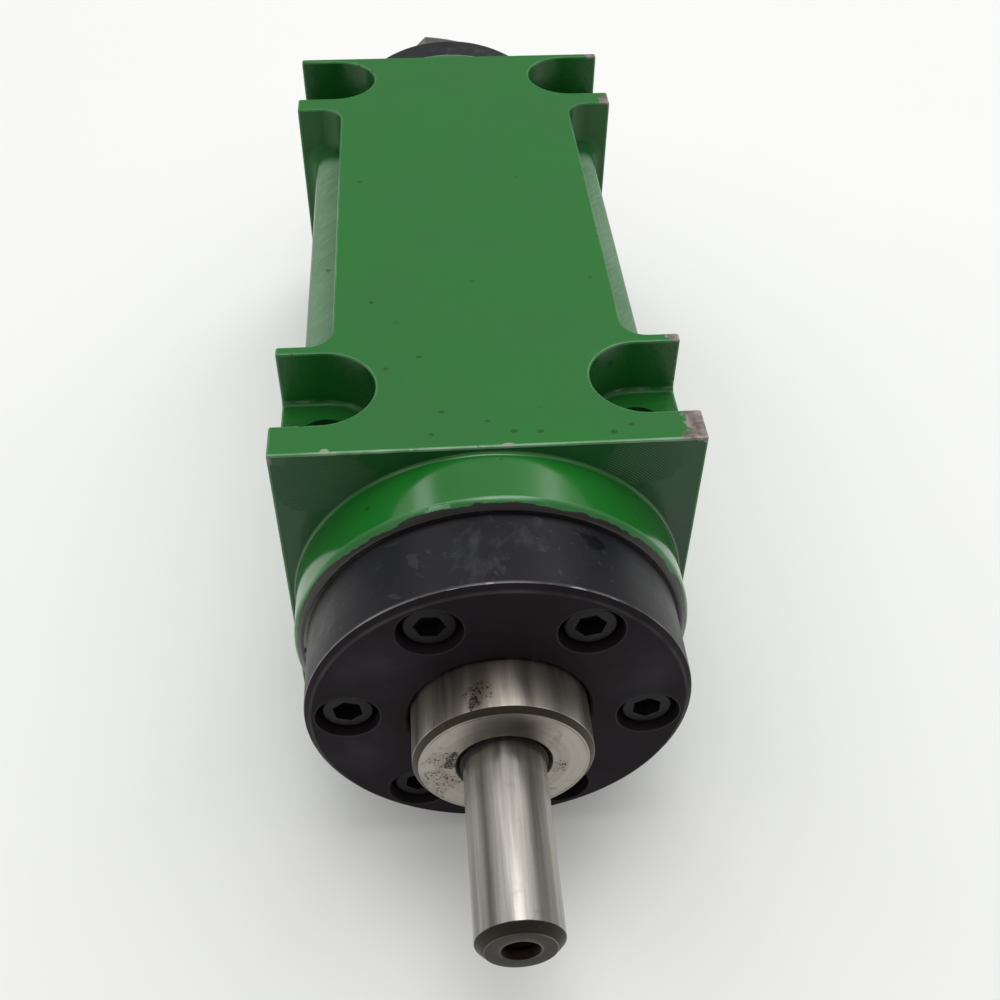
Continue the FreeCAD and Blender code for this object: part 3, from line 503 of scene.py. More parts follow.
# %% Bright steel
def bright_steel(name, light, dark, roughness=0.3, pitch=1500.0, line_depth=0.00001, rust=0.0, band=0.5, smear=0.0,
                 specked=(), clumped=(), painted_bands=0.0, pale_rings=(), painted_reflection=(), painted_band_pitch=650.0):
    material, tree, shader, place = start_finish(name, Metallic=1.0, Anisotropic=smear, Anisotropic_Rotation=0.25)
    if smear:
        around = node(tree, "ShaderNodeTangent", direction_type="RADIAL", axis="Y").outputs[0]
        tree.links.new(around, shader.inputs["Tangent"])
    lines = use_group(tree, TURNED_LINES, place, Pitch=pitch)
    marks = use_group(tree, SCRATCHES, place, Amount=0.1 if smear else 0.4)
    colour = mix_colour(tree, math_node(tree, "MULTIPLY", threshold(tree, lines["Bands"], 0.35, 0.65), band), light, dark)
    turned = math_node(tree, "MULTIPLY", threshold(tree, lines["Lines"], 0.4, 0.7), 0.06 if smear else 0.2)
    colour = mix_colour(tree, turned, colour, dark)
    # Painted reflection: dark bands along the axis, deepening the bands of the smeared reflection.
    if painted_bands:
        band_mask = threshold(tree, stretched_noise(tree, place, (0.0, 0.0, 0.0), (painted_band_pitch, 22.0, painted_band_pitch), 4.0),
                           0.38, 0.62)
        colour = mix_colour(tree, math_node(tree, "MULTIPLY", band_mask, painted_bands), colour, dark)
    for radius, width in pale_rings:
        off = math_node(tree, "ABSOLUTE", math_node(tree, "SUBTRACT", lines["Radius"], radius * MM))
        worn = math_node(tree, "MULTIPLY", threshold(tree, off, width * MM, 0.0), threshold(tree, marks["Smudge"], 0.42, 0.62))
        colour = mix_colour(tree, worn, colour, tint(128, 122, 112))
    if rust:
        patch = node(tree, "ShaderNodeTexNoise", {"Vector": place, "Scale": 330.0, "Detail": 5.0}).outputs[0]
        rusted = math_node(tree, "MULTIPLY", threshold(tree, patch, 0.60, 0.68), threshold(tree, marks["Smudge"], 0.4, 0.6))
        colour = mix_colour(tree, math_node(tree, "MULTIPLY", rusted, rust), colour, tint(112, 78, 52))
    colour = mix_colour(tree, math_node(tree, "MULTIPLY", marks["Marks"], 0.4), colour, dark)
    # Painted reflection: a soft dark patch on the collar's face, beside the top of the shaft.
    for centre, size in painted_reflection:
        shade = math_node(tree, "MULTIPLY", soft_patch(tree, place, centre, size), 0.75)
        colour = mix_colour(tree, shade, colour, tint(92, 82, 74))
    if specked:
        grains = node(tree, "ShaderNodeTexNoise", {"Vector": place, "Scale": 2300.0, "Detail": 5.0}).outputs[0]
        inside = spots(tree, place, specked, 2.6)
        specks = math_node(tree, "MULTIPLY", inside, threshold(tree, grains, 0.55, 0.62))
        colour = mix_colour(tree, math_node(tree, "MULTIPLY", inside, 0.2), colour, tint(112, 88, 62))
        if clumped:
            among = spots(tree, place, clumped, 3.0)
            clumps = math_node(tree, "MULTIPLY", among, threshold(tree, grains, 0.42, 0.54))
            colour = mix_colour(tree, math_node(tree, "MULTIPLY", among, 0.35), colour, tint(104, 80, 54))
            specks = math_node(tree, "MAXIMUM", specks, clumps)
        colour = mix_colour(tree, math_node(tree, "MULTIPLY", specks, 0.9), colour, tint(40, 33, 27))
    wander = 0.01 if smear else 0.05
    rough = node(tree, "ShaderNodeMapRange", {0: marks["Smudge"] if smear else lines["Bands"], 1: 0.3, 2: 0.7,
                                              3: roughness - wander, 4: roughness + 2 * wander}).outputs[0]
    set_colour(tree, shader, colour, rough)
    raise_surface(tree, shader, lines["Lines"], line_depth)
    return material


shaft_steel = bright_steel("shaft_steel", tint(162, 159, 153), tint(116, 112, 106), 0.25, 1900.0, 0.0000005, rust=0.15,
                           band=0.0, smear=0.85, painted_bands=0.75)
shaft_tip = bright_steel("shaft_tip", tint(62, 60, 54), tint(40, 38, 34), 0.45, 1200.0, rust=0.3,
                         pale_rings=[(6.0, 0.16), (3.5, 0.2)])
collar_steel = bright_steel("collar_steel", tint(194, 186, 176), tint(118, 110, 101), 0.29, 900.0, 0.0000005, band=0.0,
                            smear=0.85, painted_bands=0.8, painted_band_pitch=280.0, clumped=[((-5.4, -119.4, 55.6), (1.1, 2.4, 1.4))], specked=[((-5.0, -119.0, 55.8), (2.2, 2.6, 1.6)), ((-3.6, -118.6, 56.1), (2.2, 2.0, 1.6))])
collar_front = bright_steel("collar_front", tint(178, 173, 165), tint(122, 116, 108), 0.38, 1100.0, 0.00003, rust=0.35,
                            clumped=[((-8.8, -122.75, 42.6), (1.2, 1, 2.2)), ((-9.8, -122.75, 40.2), (1.4, 1, 1.4))],
                            pale_rings=[(15.0, 0.25)],
                            specked=[((-10.2, -122.75, 42), (3.4, 1, 3.6)), ((-11.8, -122.75, 36), (3.6, 1, 4.6)),
                                     ((9.6, -122.75, 38.5), (1.9, 1, 2.4))],
                            painted_reflection=[((3, -122.75, 51.5), (9, 2, 5))])
dark_chamfer = bright_steel("dark_chamfer", tint(72, 67, 58), tint(44, 41, 35), 0.4, 1200.0, rust=0.3)
# Painted shade: the tapped hole is near-black brown, both rust and the shade inside it.
hole_rust_and_shade = bright_steel("hole_rust_and_shade", tint(46, 35, 28), tint(19, 14, 11), 0.5, 1200.0, rust=0.5)
nut_steel = bright_steel("nut_steel", tint(130, 127, 122), tint(96, 93, 88), 0.38, 1100.0)
collet_steel = bright_steel("collet_steel", tint(196, 194, 190), tint(150, 148, 144), 0.24, 1700.0)
spacer_steel = bright_steel("spacer_steel", tint(186, 182, 176), tint(146, 142, 136), 0.3, 1300.0)
race_steel = bright_steel("race_steel", tint(206, 206, 208), tint(170, 170, 172), 0.16, 2200.0, 0.00001)
ball_steel = bright_steel("ball_steel", tint(224, 224, 226), tint(200, 200, 204), 0.1, 800.0, 0.000004, band=0.1)
spring_steel = bright_steel("spring_steel", tint(150, 150, 156), tint(104, 104, 112), 0.3, 1200.0)
cage_brass = bright_steel("cage_brass", tint(206, 166, 92), tint(158, 120, 58), 0.34, 1400.0)
print(len(bpy.data.materials), "materials so far")

# %% [markdown]
# Felt is matted wool. A fine tangled noise gives its colour and a soft bump, and sheen gives the light that loose
# fibres catch.

# %% Felt
felt, tree, shader, place = start_finish("felt", Roughness=0.95, Sheen_Weight=0.35)
fibres = node(tree, "ShaderNodeTexNoise", {"Vector": place, "Scale": 1600.0, "Detail": 5.0, "Distortion": 1.4}).outputs[0]
set_colour(tree, shader, mix_colour(tree, fibres, tint(92, 84, 72), tint(154, 144, 128)))
raise_surface(tree, shader, fibres, 0.0002)
print("felt made")

# %% [markdown]
# Most of this object came off a lathe, and so do its pieces here. A lathe outline is a list of corners: distance
# along the spindle, radius, and how much that corner is rounded. The corners are bevelled first, while they are
# still a simple line, and one full spin with use_merge closes the shape.

# %% Lathe
def lathe(outline, steps=160, closed=False):
    bm = bmesh.new()
    corners = [bm.verts.new((0, along * MM, (AXIS_Z + radius) * MM)) for along, radius, rounding in outline]
    pairs = list(zip(corners, corners[1:]))
    if closed:
        pairs.append((corners[-1], corners[0]))
    for first, second in pairs:
        bm.edges.new((first, second))
    sizes = [rounding for along, radius, rounding in outline]
    for size in sorted(set(sizes) - {0}):
        chosen = [corner for corner, rounding in zip(corners, sizes) if rounding == size]
        bmesh.ops.bevel(bm, geom=chosen, offset=size * MM, segments=3, profile=0.5, affect="VERTICES", material=-1)
    bmesh.ops.spin(bm, geom=bm.verts[:] + bm.edges[:], cent=(0, 0, AXIS_Z * MM), axis=(0, 1, 0), dvec=(0, 0, 0),
                   angle=math.tau, steps=steps, use_merge=True)
    bmesh.ops.remove_doubles(bm, verts=bm.verts[:], dist=0.002 * MM)
    bmesh.ops.recalc_face_normals(bm, faces=bm.faces[:])
    return bm


def radius_of(point):
    return math.hypot(point.x, point.z - AXIS_Z * MM) / MM


trial = lathe([(0, 0, 0), (0, 10, 1), (5, 10, 0), (5, 0, 0)])
print("trial disc volume", round(trial.calc_volume() * 1e9), "cubic mm, pi * 100 * 5 =", round(math.pi * 500))
trial.free()

# %% [markdown]
# A finished bmesh becomes an object with its materials, rides on a CAD body, and stands for the CAD node that it
# replaces. Shading is smooth, with edges sharper than 32 degrees kept crisp. A smooth corner beside a large flat face
# would tilt the light on all of it, so a Weighted Normal modifier lets the largest face decide. The shaft and the
# collar go without it: their finish follows the piece's own box, which should be read from a mesh with no modifier.

# %% From bmesh to a finished piece
def as_object(name, bm):
    mesh = bpy.data.meshes.new(name)
    bm.to_mesh(mesh)
    bm.free()
    made = bpy.data.objects.new(name, mesh)
    bpy.context.scene.collection.objects.link(made)
    return made


def finish_piece(made, materials, body, node_name, weighted=True):
    regions = [polygon.material_index for polygon in made.data.polygons]
    made.data.materials.clear()
    for material in materials:
        made.data.materials.append(material)
    made.data.polygons.foreach_set("material_index", regions)
    made.data.shade_smooth()
    made.data.set_sharp_from_angle(angle=math.radians(32))
    if weighted:
        flatten = made.modifiers.new("large faces stay flat", "WEIGHTED_NORMAL")
        flatten.keep_sharp, flatten.weight = True, 100
    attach(made, body)
    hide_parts(node_name)
    triangles = sum(len(polygon.vertices) - 2 for polygon in made.data.polygons)
    print(made.name, "stands for", node_name, "with", triangles, "triangles")


def cut(made, tool, operation="DIFFERENCE"):
    """Boolean of two objects, kept in the first; the second is used up."""
    modifier = made.modifiers.new("cut", "BOOLEAN")
    modifier.operation, modifier.object, modifier.solver = operation, tool, "EXACT"
    scene_graph = bpy.context.evaluated_depsgraph_get()
    result = bpy.data.meshes.new_from_object(made.evaluated_get(scene_graph))
    made.modifiers.clear()
    made.data = result
    bpy.data.objects.remove(tool)


# %% [markdown]
# The casting is two square ears joined by a narrower barrel. In the real one the barrel meets each ear in a cast
# radius. Three blocks are joined first, and the inside corners where the barrel runs into the ears are bevelled,
# which fills them with a smooth root.

# %% Barrel and ears
def block(name, low, high):
    bm = bmesh.new()
    bmesh.ops.create_cube(bm, size=1.0)
    size = [(b - a) * MM for a, b in zip(low, high)]
    middle = [(a + b) / 2 * MM for a, b in zip(low, high)]
    bmesh.ops.scale(bm, vec=size, verts=bm.verts[:])
    bmesh.ops.translate(bm, vec=middle, verts=bm.verts[:])
    return as_object(name, bm)


def edit(made, work):
    """Runs work(bm) on an object's mesh."""
    bm = bmesh.new()
    bm.from_mesh(made.data)
    work(bm)
    bm.to_mesh(made.data)
    bm.free()


def near(value, target, slack=0.01):
    return abs(value - target) < slack


def round_barrel(bm):
    tops = [edge for edge in bm.edges
            if all(near(v.co.z / MM, 68) for v in edge.verts) and abs(edge.verts[0].co.y - edge.verts[1].co.y) > 1 * MM]
    bmesh.ops.bevel(bm, geom=tops, offset=4 * MM, segments=8, profile=0.5, affect="EDGES", material=-1)


def fill_roots(bm):
    def on_root(edge):
        ys = [v.co.y / MM for v in edge.verts]
        flat = near(ys[0], ys[1]) and (near(ys[0], REAR_EAR_INSIDE) or near(ys[0], FRONT_EAR_INSIDE))
        barrel = all(abs(v.co.x) / MM < 36.6 and v.co.z / MM < 68.1 for v in edge.verts)
        return flat and barrel and not all(near(v.co.z, 0) for v in edge.verts)
    roots = [edge for edge in bm.edges if on_root(edge)]
    print("root edges", len(roots))
    bmesh.ops.bevel(bm, geom=roots, offset=3 * MM, segments=6, profile=0.5, affect="EDGES", material=-1)


housing = block("housing_casting", (-36.5, REAR_EAR_INSIDE - 5, 0), (36.5, FRONT_EAR_INSIDE + 5, 68))
edit(housing, round_barrel)
cut(housing, block("rear_ear", (-HALF_WIDTH, REAR_FACE, 0), (HALF_WIDTH, REAR_EAR_INSIDE, HEIGHT)), "UNION")
cut(housing, block("front_ear", (-HALF_WIDTH, FRONT_EAR_INSIDE, 0), (HALF_WIDTH, FRONT_FACE, HEIGHT)), "UNION")
edit(housing, fill_roots)
print("casting has", len(housing.data.polygons), "faces")

# %% [markdown]
# The top plate is milled flat and narrows between the ears. Its outline is drawn as one face. The four inside
# corners are rounded with a vertex bevel, and the face is pulled up into a plate.

# %% Top plate
def pull_up(bm, faces, height):
    made = bmesh.ops.extrude_face_region(bm, geom=faces)
    raised = [item for item in made["geom"] if isinstance(item, bmesh.types.BMVert)]
    bmesh.ops.translate(bm, vec=(0, 0, height * MM), verts=raised)
    bmesh.ops.recalc_face_normals(bm, faces=bm.faces[:])


plate = bmesh.new()
right = [(40, REAR_FACE), (40, REAR_EAR_INSIDE), (29, REAR_EAR_INSIDE), (29, FRONT_EAR_INSIDE), (40, FRONT_EAR_INSIDE),
         (40, FRONT_FACE)]
left = [(-x, y) for x, y in reversed(right)]
plan = plate.faces.new([plate.verts.new((x * MM, y * MM, 50 * MM)) for x, y in right + left])
inside_corners = [v for v in plate.verts if near(abs(v.co.x) / MM, 29)]
bmesh.ops.bevel(plate, geom=inside_corners, offset=5 * MM, segments=8, profile=0.5, affect="VERTICES", material=-1)
pull_up(plate, plate.faces[:], 30)
cut(housing, as_object("top_plate", plate), "UNION")
print("with the top plate", len(housing.data.polygons), "faces")

# %% [markdown]
# Each ear carries a round boss that the bearing cover bolts to. The boss is lathed with a chamfered rim and a small
# flare at its root, where paint gathers.

# %% Bosses
def boss(face, end, direction):
    def at(distance):
        return face + direction * distance
    outline = [(at(-1.5), 0, 0), (at(-1.5), 39.4, 0), (at(-0.05), 39.4, 0), (at(-0.05), 38.5, 0.85),
               (end - direction * 1.5, 38.5, 0.5), (end, 37, 0.4), (end, 0, 0)]
    return as_object("boss", lathe(outline, steps=144))


cut(housing, boss(REAR_FACE, REAR_BOSS_END, -1), "UNION")
cut(housing, boss(FRONT_FACE, FRONT_BOSS_END, 1), "UNION")
print("with both bosses", len(housing.data.polygons), "faces")

# %% [markdown]
# Four pockets are milled in from the sides with a ball-nosed corner, so that a spanner reaches the base bolts. The
# cutter is a rectangle with its inner corners rounded to the full radius, pulled up, and bevelled round its floor.

# %% Bolt pockets
def pocket_tool(side, y):
    bm = bmesh.new()
    corners = [(44, -10.5), (20.5, -10.5), (20.5, 10.5), (44, 10.5)]
    bm.faces.new([bm.verts.new((side * x * MM, (y + step) * MM, 67.3 * MM)) for x, step in corners])
    inner = [v for v in bm.verts if near(abs(v.co.x) / MM, 20.5)]
    bmesh.ops.bevel(bm, geom=inner, offset=10.49 * MM, segments=14, profile=0.5, affect="VERTICES", material=-1)
    bmesh.ops.remove_doubles(bm, verts=bm.verts[:], dist=0.05 * MM)
    pull_up(bm, bm.faces[:], 20)
    floor_edges = [edge for edge in bm.edges if all(near(v.co.z / MM, 67.3) for v in edge.verts)
                   and not all(near(abs(v.co.x) / MM, 44) for v in edge.verts)]
    bmesh.ops.bevel(bm, geom=floor_edges, offset=1 * MM, segments=4, profile=0.5, affect="EDGES", material=-1)
    return as_object("pocket_tool", bm)


def rod(x, z, y, low, high, radius, upright, segments=48):
    bm = bmesh.new()
    bmesh.ops.create_cone(bm, cap_ends=True, segments=segments, radius1=radius * MM, radius2=radius * MM,
                          depth=(high - low) * MM)
    if upright:
        bmesh.ops.translate(bm, vec=(x * MM, y * MM, (low + high) / 2 * MM), verts=bm.verts[:])
    else:
        bmesh.ops.rotate(bm, cent=(0, 0, 0), matrix=Matrix.Rotation(math.radians(90), 3, "X"), verts=bm.verts[:])
        bmesh.ops.translate(bm, vec=(x * MM, (low + high) / 2 * MM, z * MM), verts=bm.verts[:])
    return as_object("rod", bm)


for side, y in POCKET_PLACES:
    cut(housing, pocket_tool(side, y))
    cut(housing, rod(side * 31, 0, y, -2, 69, 5.5, upright=True))
print("with pockets and bolt holes", len(housing.data.polygons), "faces")

# %% [markdown]
# The bore is hidden behind the covers, but the bearings and the shaft turn in it, so the casting is opened for them,
# and for the cover screws too.

# %% Bores and tapped holes
def screw_centre(angle):
    return 28 * math.cos(angle), AXIS_Z + 28 * math.sin(angle)


bore_outline = [(-96.5, 0, 0), (-96.5, 21, 0), (-75.75, 21, 0), (-75.75, 18, 0), (49.25, 18, 0), (49.25, 21, 0),
                (83.5, 21, 0), (83.5, 0, 0)]
cut(housing, as_object("bore", lathe(bore_outline, steps=96)))
for angle in SCREW_ANGLES:
    x, z = screw_centre(angle)
    cut(housing, rod(x, z, 0, REAR_BOSS_END - 1, REAR_BOSS_END + 18.4, 3.0, upright=False, segments=20))
    cut(housing, rod(x, z, 0, FRONT_BOSS_END - 12.4, FRONT_BOSS_END + 1, 3.0, upright=False, segments=20))
print("with bores", len(housing.data.polygons), "faces")

# %% [markdown]
# Booleans leave flat faces in pieces, so those are dissolved. Then the outside corners are bevelled by half a
# millimetre, as a cast and milled edge is under paint, and every face gets the finish of its region.

# %% Edges and regions of the casting
REGIONS = [side_enamel, top_enamel, plate_enamel, boss_enamel, pocket_enamel, ledge_enamel, edge_paint, lip_paint,
           boss_rim, root_highlight_paint, boss_ring, ground_base, bored_iron]


def in_pocket(middle):
    in_length = 53.0 < abs(middle.y) / MM < 74.4
    return in_length and abs(middle.x) / MM > 20.4 and 67.2 < middle.z / MM < 79.9 and abs(middle.x) / MM < 39.99


def region_of(face):
    middle, normal = face.calc_center_median(), face.normal
    y, z, radius = middle.y / MM, middle.z / MM, radius_of(middle)
    beyond = y < REAR_FACE - 0.01 or y > FRONT_FACE + 0.01
    if z < 0.01 and normal.z < -0.9:
        return ground_base
    if abs(normal.y) > 0.95 and (near(y, REAR_FACE, 0.1) or near(y, FRONT_FACE, 0.1)):
        return plate_enamel
    if radius < 22 and (radius < 21.2 or abs(normal.y) < 0.5):
        return bored_iron
    if beyond and (near(y, REAR_BOSS_END) or near(y, FRONT_BOSS_END)):
        return boss_ring
    if beyond and (y < REAR_BOSS_END + 1.9 or y > FRONT_BOSS_END - 1.9):
        return boss_rim
    # The flare at the root of a boss takes the painted highlight.
    if beyond and (0 > y > REAR_FACE - 0.2 or 0 < y < FRONT_FACE + 0.2):
        return root_highlight_paint
    if beyond:
        return boss_enamel
    if z > 79.5 and normal.z > 0.9:
        return top_enamel
    if in_pocket(middle):
        return pocket_enamel
    if normal.z > 0.5 and 63 < z < 69 and REAR_EAR_INSIDE < y < FRONT_EAR_INSIDE:
        return ledge_enamel
    return side_enamel


def on_bolt_hole(point):
    return near(math.hypot(abs(point.x) / MM - 31, abs(point.y) / MM - 63.75), 5.5, 0.1)


def dress_casting(bm):
    bmesh.ops.remove_doubles(bm, verts=bm.verts[:], dist=0.005 * MM)
    bmesh.ops.dissolve_limit(bm, angle_limit=math.radians(0.4), verts=bm.verts[:], edges=bm.edges[:],
                             use_dissolve_boundaries=False)
    for face in bm.faces:
        face.material_index = REGIONS.index(region_of(face))
    outside = [edge for edge in bm.edges if edge.is_manifold and edge.calc_face_angle_signed() > math.radians(32)
               and all(radius_of(v.co) > 33 for v in edge.verts)]
    outside = [edge for edge in outside if REAR_FACE - 0.1 < edge.verts[0].co.y / MM < FRONT_FACE + 0.1
               and not all(on_bolt_hole(v.co) for v in edge.verts)]
    made = bmesh.ops.bevel(bm, geom=outside, offset=0.5 * MM, segments=2, profile=0.5, affect="EDGES", material=-1,
                           clamp_overlap=False)
    for face in made["faces"]:
        middle = face.calc_center_median()
        near_lip = middle.y / MM < REAR_FACE + 0.6 and middle.z / MM > HEIGHT - 0.6
        face.material_index = REGIONS.index(lip_paint if near_lip else edge_paint)
    print("bevelled edges", len(outside), "new faces", len(made["faces"]))


edit(housing, dress_casting)
finish_piece(housing, REGIONS, "housing", "housing")

# %% [markdown]
# A bearing cover is a thick turned disc with a spigot that centres it in the bore, a groove for the felt ring and
# six counterbores. The rim of each counterbore is bevelled, because the countersunk edge catches the light.

# %% Bearing covers
def cover(name, end, direction, thickness):
    def at(distance):
        return end + direction * distance
    outline = [(at(-4), 16.9, 0), (at(-4), 20.98, 0.3), (at(0), 20.98, 0), (at(0), 36, 0.2),
               (at(thickness - 1.2), 36, 0.35), (at(thickness), 34.8, 0.35), (at(thickness), 17.4, 0.1),
               (at(thickness - 0.5), 16.9, 0.1), (at(8.5), 16.9, 0), (at(8.5), 20.9, 0), (at(3.5), 20.9, 0),
               (at(3.5), 16.9, 0)]
    made = as_object(name, lathe(outline, steps=180, closed=True))
    for angle in SCREW_ANGLES:
        x, z = screw_centre(angle)
        low, high = sorted((at(thickness - 7.4), at(thickness + 1)))
        cut(made, rod(x, z, 0, low, high, 5.9, upright=False, segments=56))
        low, high = sorted((at(-1), at(thickness - 7)))
        cut(made, rod(x, z, 0, low, high, 3.3, upright=False, segments=32))

    def ease_rims(bm):
        bmesh.ops.dissolve_limit(bm, angle_limit=math.radians(0.3), verts=bm.verts[:], edges=bm.edges[:])
        rims = [edge for edge in bm.edges if all(near(v.co.y / MM, at(thickness)) for v in edge.verts)
                and all(20 < radius_of(v.co) < 34.6 for v in edge.verts)
                and edge.calc_face_angle(0) > math.radians(60)]
        for face in bm.faces:
            middle = face.calc_center_median()
            on_end = direction * (middle.y / MM - at(thickness - 1.15)) > 0
            face.material_index = 0 if radius_of(middle) > 34.5 and not on_end else (1 if on_end else 2)
        made_rims = bmesh.ops.bevel(bm, geom=rims, offset=0.3 * MM, segments=2, profile=0.5, affect="EDGES",
                                    material=-1, clamp_overlap=False)
        for face in made_rims["faces"]:
            face.material_index = 2

    edit(made, ease_rims)
    return made


for name, end, direction, thickness, finish in (("rear_cover", REAR_BOSS_END, -1, 17, rear_cover_black),
                                                ("front_cover", FRONT_BOSS_END, 1, 14, front_cover_black)):
    made = cover(name + "_disc", end, direction, thickness)
    finish_piece(made, [finish, cover_face_black, counterbore_rim], "housing", name)

# %% [markdown]
# A cap screw has a knurled head with a hexagon socket. The head is lathed, every second row of its side is pulled
# in a little for the knurl, and the socket is cut with a six-sided rod. One screw is made and copied round the
# cover, each copy turned to its own angle, as screws stop where they are tight.

# %% Cap screws
def screw_mesh(length, direction):
    outline = [(-length, 0, 0), (-length, 2.4, 0), (-length + 0.5, 2.95, 0), (0, 2.95, 0), (0, 4.8, 0), (0.3, 5, 0),
               (5.3, 5, 0), (6, 4.5, 0.2), (6, 0, 0)]
    bm = lathe(outline, steps=96)
    for v in bm.verts:
        angle = math.atan2(v.co.z - AXIS_Z * MM, v.co.x)
        if near(radius_of(v.co), 5) and round(angle / math.tau * 96) % 2:
            v.co.x *= 0.97
            v.co.z = AXIS_Z * MM + (v.co.z - AXIS_Z * MM) * 0.97
    if direction < 0:
        bmesh.ops.scale(bm, vec=(1, -1, 1), verts=bm.verts[:])
        bmesh.ops.recalc_face_normals(bm, faces=bm.faces[:])
    made = as_object("screw", bm)
    low, high = sorted((3 * direction, 7 * direction))
    cut(made, rod(0, AXIS_Z, 0, low, high, 5 / math.sqrt(3), upright=False, segments=6))
    return made


def screw_set(name, end, direction, thickness, length):
    single = screw_mesh(length, direction)
    seat = end + direction * (thickness - 7.4)
    together = bmesh.new()
    for index, angle in enumerate(SCREW_ANGLES):
        x, z = screw_centre(angle)
        copy = single.data.copy()
        spin = Matrix.Rotation(math.radians(17 * index), 4, "Y")
        centred = Matrix.Translation((0, 0, -AXIS_Z * MM))
        copy.transform(Matrix.Translation((x * MM, seat * MM, z * MM)) @ spin @ centred)
        together.from_mesh(copy)
        bpy.data.meshes.remove(copy)
    bpy.data.objects.remove(single)
    made = as_object(name, together)
    finish_piece(made, [screw_black], "housing", name)
    return made


for name, end, direction, thickness, length in (("rear_cover_screws", REAR_BOSS_END, -1, 17, 25),
                                                ("front_cover_screws", FRONT_BOSS_END, 1, 14, 16)):
    made = screw_set(name, end, direction, thickness, length)
    made.name = name + "_set"

# %% [markdown]
# The shaft is one turned part. Its belt end is bare and ground, with a dark chamfer and a tapped centre hole. The
# thread in that hole and on the collet nose is drawn as rings, each a small V cut in the outline.

# %% Spindle shaft
def vee_rings(start, count, pitch, crest, root, direction):
    """Corners of a row of V grooves along an outline."""
    corners = []
    for index in range(count):
        place = start + direction * pitch * index
        corners += [(place, crest, 0), (place + direction * pitch / 2, root, 0)]
    return corners + [(start + direction * pitch * count, crest, 0)]


hole_thread = list(reversed(vee_rings(SHAFT_END + 1.5, 13, 1.0, 2.5, 2.95, 1)))
shaft_outline = [(SHAFT_END + 17.5, 0, 0), (SHAFT_END + 16, 2.5, 0)] + hole_thread
shaft_outline += [(SHAFT_END + 1.386, 2.5, 0), (SHAFT_END, 3.3, 0.12), (SHAFT_END, 6, 0.15),
                  (SHAFT_END + 1.5, 7.5, 0.2), (COLLAR_FACE, 7.5, 0), (COLLAR_FACE, 8, 0), (-89.75, 8, 0),
                  (-89.75, 10, 0), (78.25, 10, 0), (78.25, 13, 0), (79.75, 13, 0), (79.75, 16.5, 0),
                  (97.25, 16.5, 0.1), (97.75, 16, 0.1), (97.75, 13.5, 0), (121.25, 13.5, 0.2), (121.25, 11.3, 0),
                  (123.75, 11.3, 0), (123.75, 12.5, 0)]
shaft_outline += vee_rings(124.2, 9, 1.5, 12.5, 11.7, 1)
shaft_outline += [(137.95, 12.5, 0), (138.75, 11.7, 0), (138.75, 10.55, 0.1), (112.2, 6.82, 0), (112.2, 6.5, 0),
                  (100.2, 6.5, 0), (100.2, 0, 0)]


def shaft_region(face):
    middle = face.calc_center_median()
    y, radius = middle.y / MM, radius_of(middle)
    if y < SHAFT_END + 20 and radius < 3.2:
        return 2
    if y < SHAFT_END + 1.55 or near(y, COLLAR_FACE) and radius > 7.4:
        return 1
    return 0


def set_shaft_regions(bm):
    for face in bm.faces:
        face.material_index = shaft_region(face)


shaft = as_object("spindle_shaft_turned", lathe(shaft_outline, steps=144))
edit(shaft, set_shaft_regions)
finish_piece(shaft, [shaft_steel, shaft_tip, hole_rust_and_shade], "spindle", "spindle_shaft",
             weighted=False)

# %% [markdown]
# The collar turns with the shaft and presses on the bearing. Its front chamfer has darkened, so it is a finish of
# its own.

# %% Collar
collar_outline = [(COLLAR_FACE, 8.75, 0.1), (COLLAR_FACE, 15.5, 0.15), (COLLAR_FACE + 1, 16.5, 0.15), (-91.25, 16.5, 0.1),
                  (-91.25, 13, 0), (-88.75, 13, 0), (-88.75, 10.05, 0), (-89.8, 10.05, 0), (-89.8, 8.05, 0),
                  (COLLAR_FACE + 0.7, 8.05, 0.05)]
collar = as_object("rear_collar_turned", lathe(collar_outline, steps=144, closed=True))


def set_collar_regions(bm):
    for face in bm.faces:
        middle = face.calc_center_median()
        along, radius = middle.y / MM - COLLAR_FACE, radius_of(middle)
        on_chamfer = 0.02 < along < 1.0 and radius > 15
        in_mouth = along < 0.8 and radius < 8.9
        face.material_index = 2 if on_chamfer or in_mouth else (1 if along < 0.02 else 0)


edit(collar, set_collar_regions)
finish_piece(collar, [collar_steel, collar_front, dark_chamfer], "spindle", "rear_collar",
             weighted=False)

# %% [markdown]
# The collet nut starts as a six-sided bar. Its ends are turned to a cone, which leaves the curved corners that every
# hexagon nut has, and the inside is bored for the thread and the collet.

# %% Collet nut
NUT_START, NUT_END, NUT_CORNER = 126.75, 143.75, 30 / math.sqrt(3)
hexagon = bmesh.new()
bmesh.ops.create_cone(hexagon, cap_ends=True, segments=6, radius1=NUT_CORNER * MM, radius2=NUT_CORNER * MM,
                      depth=17 * MM, matrix=Matrix.Rotation(math.radians(90), 4, "X"))
spun = Matrix.Rotation(math.radians(-78), 3, "Y")
bmesh.ops.rotate(hexagon, cent=(0, 0, 0), matrix=spun, verts=hexagon.verts[:])
bmesh.ops.translate(hexagon, vec=(0, 135.25 * MM, AXIS_Z * MM), verts=hexagon.verts[:])
nut = as_object("collet_nut_hexagon", hexagon)
rim = NUT_CORNER - 1.3 / math.tan(math.radians(30))
cut(nut, as_object("cone", lathe([(NUT_START, 0, 0), (NUT_START, rim, 0), (NUT_START + 1.3, NUT_CORNER, 0),
                                  (NUT_END - 1.3, NUT_CORNER, 0), (NUT_END, rim, 0), (NUT_END, 0, 0)])), "INTERSECT")
mouth = 10.3 - 2.4 * math.tan(math.radians(30))
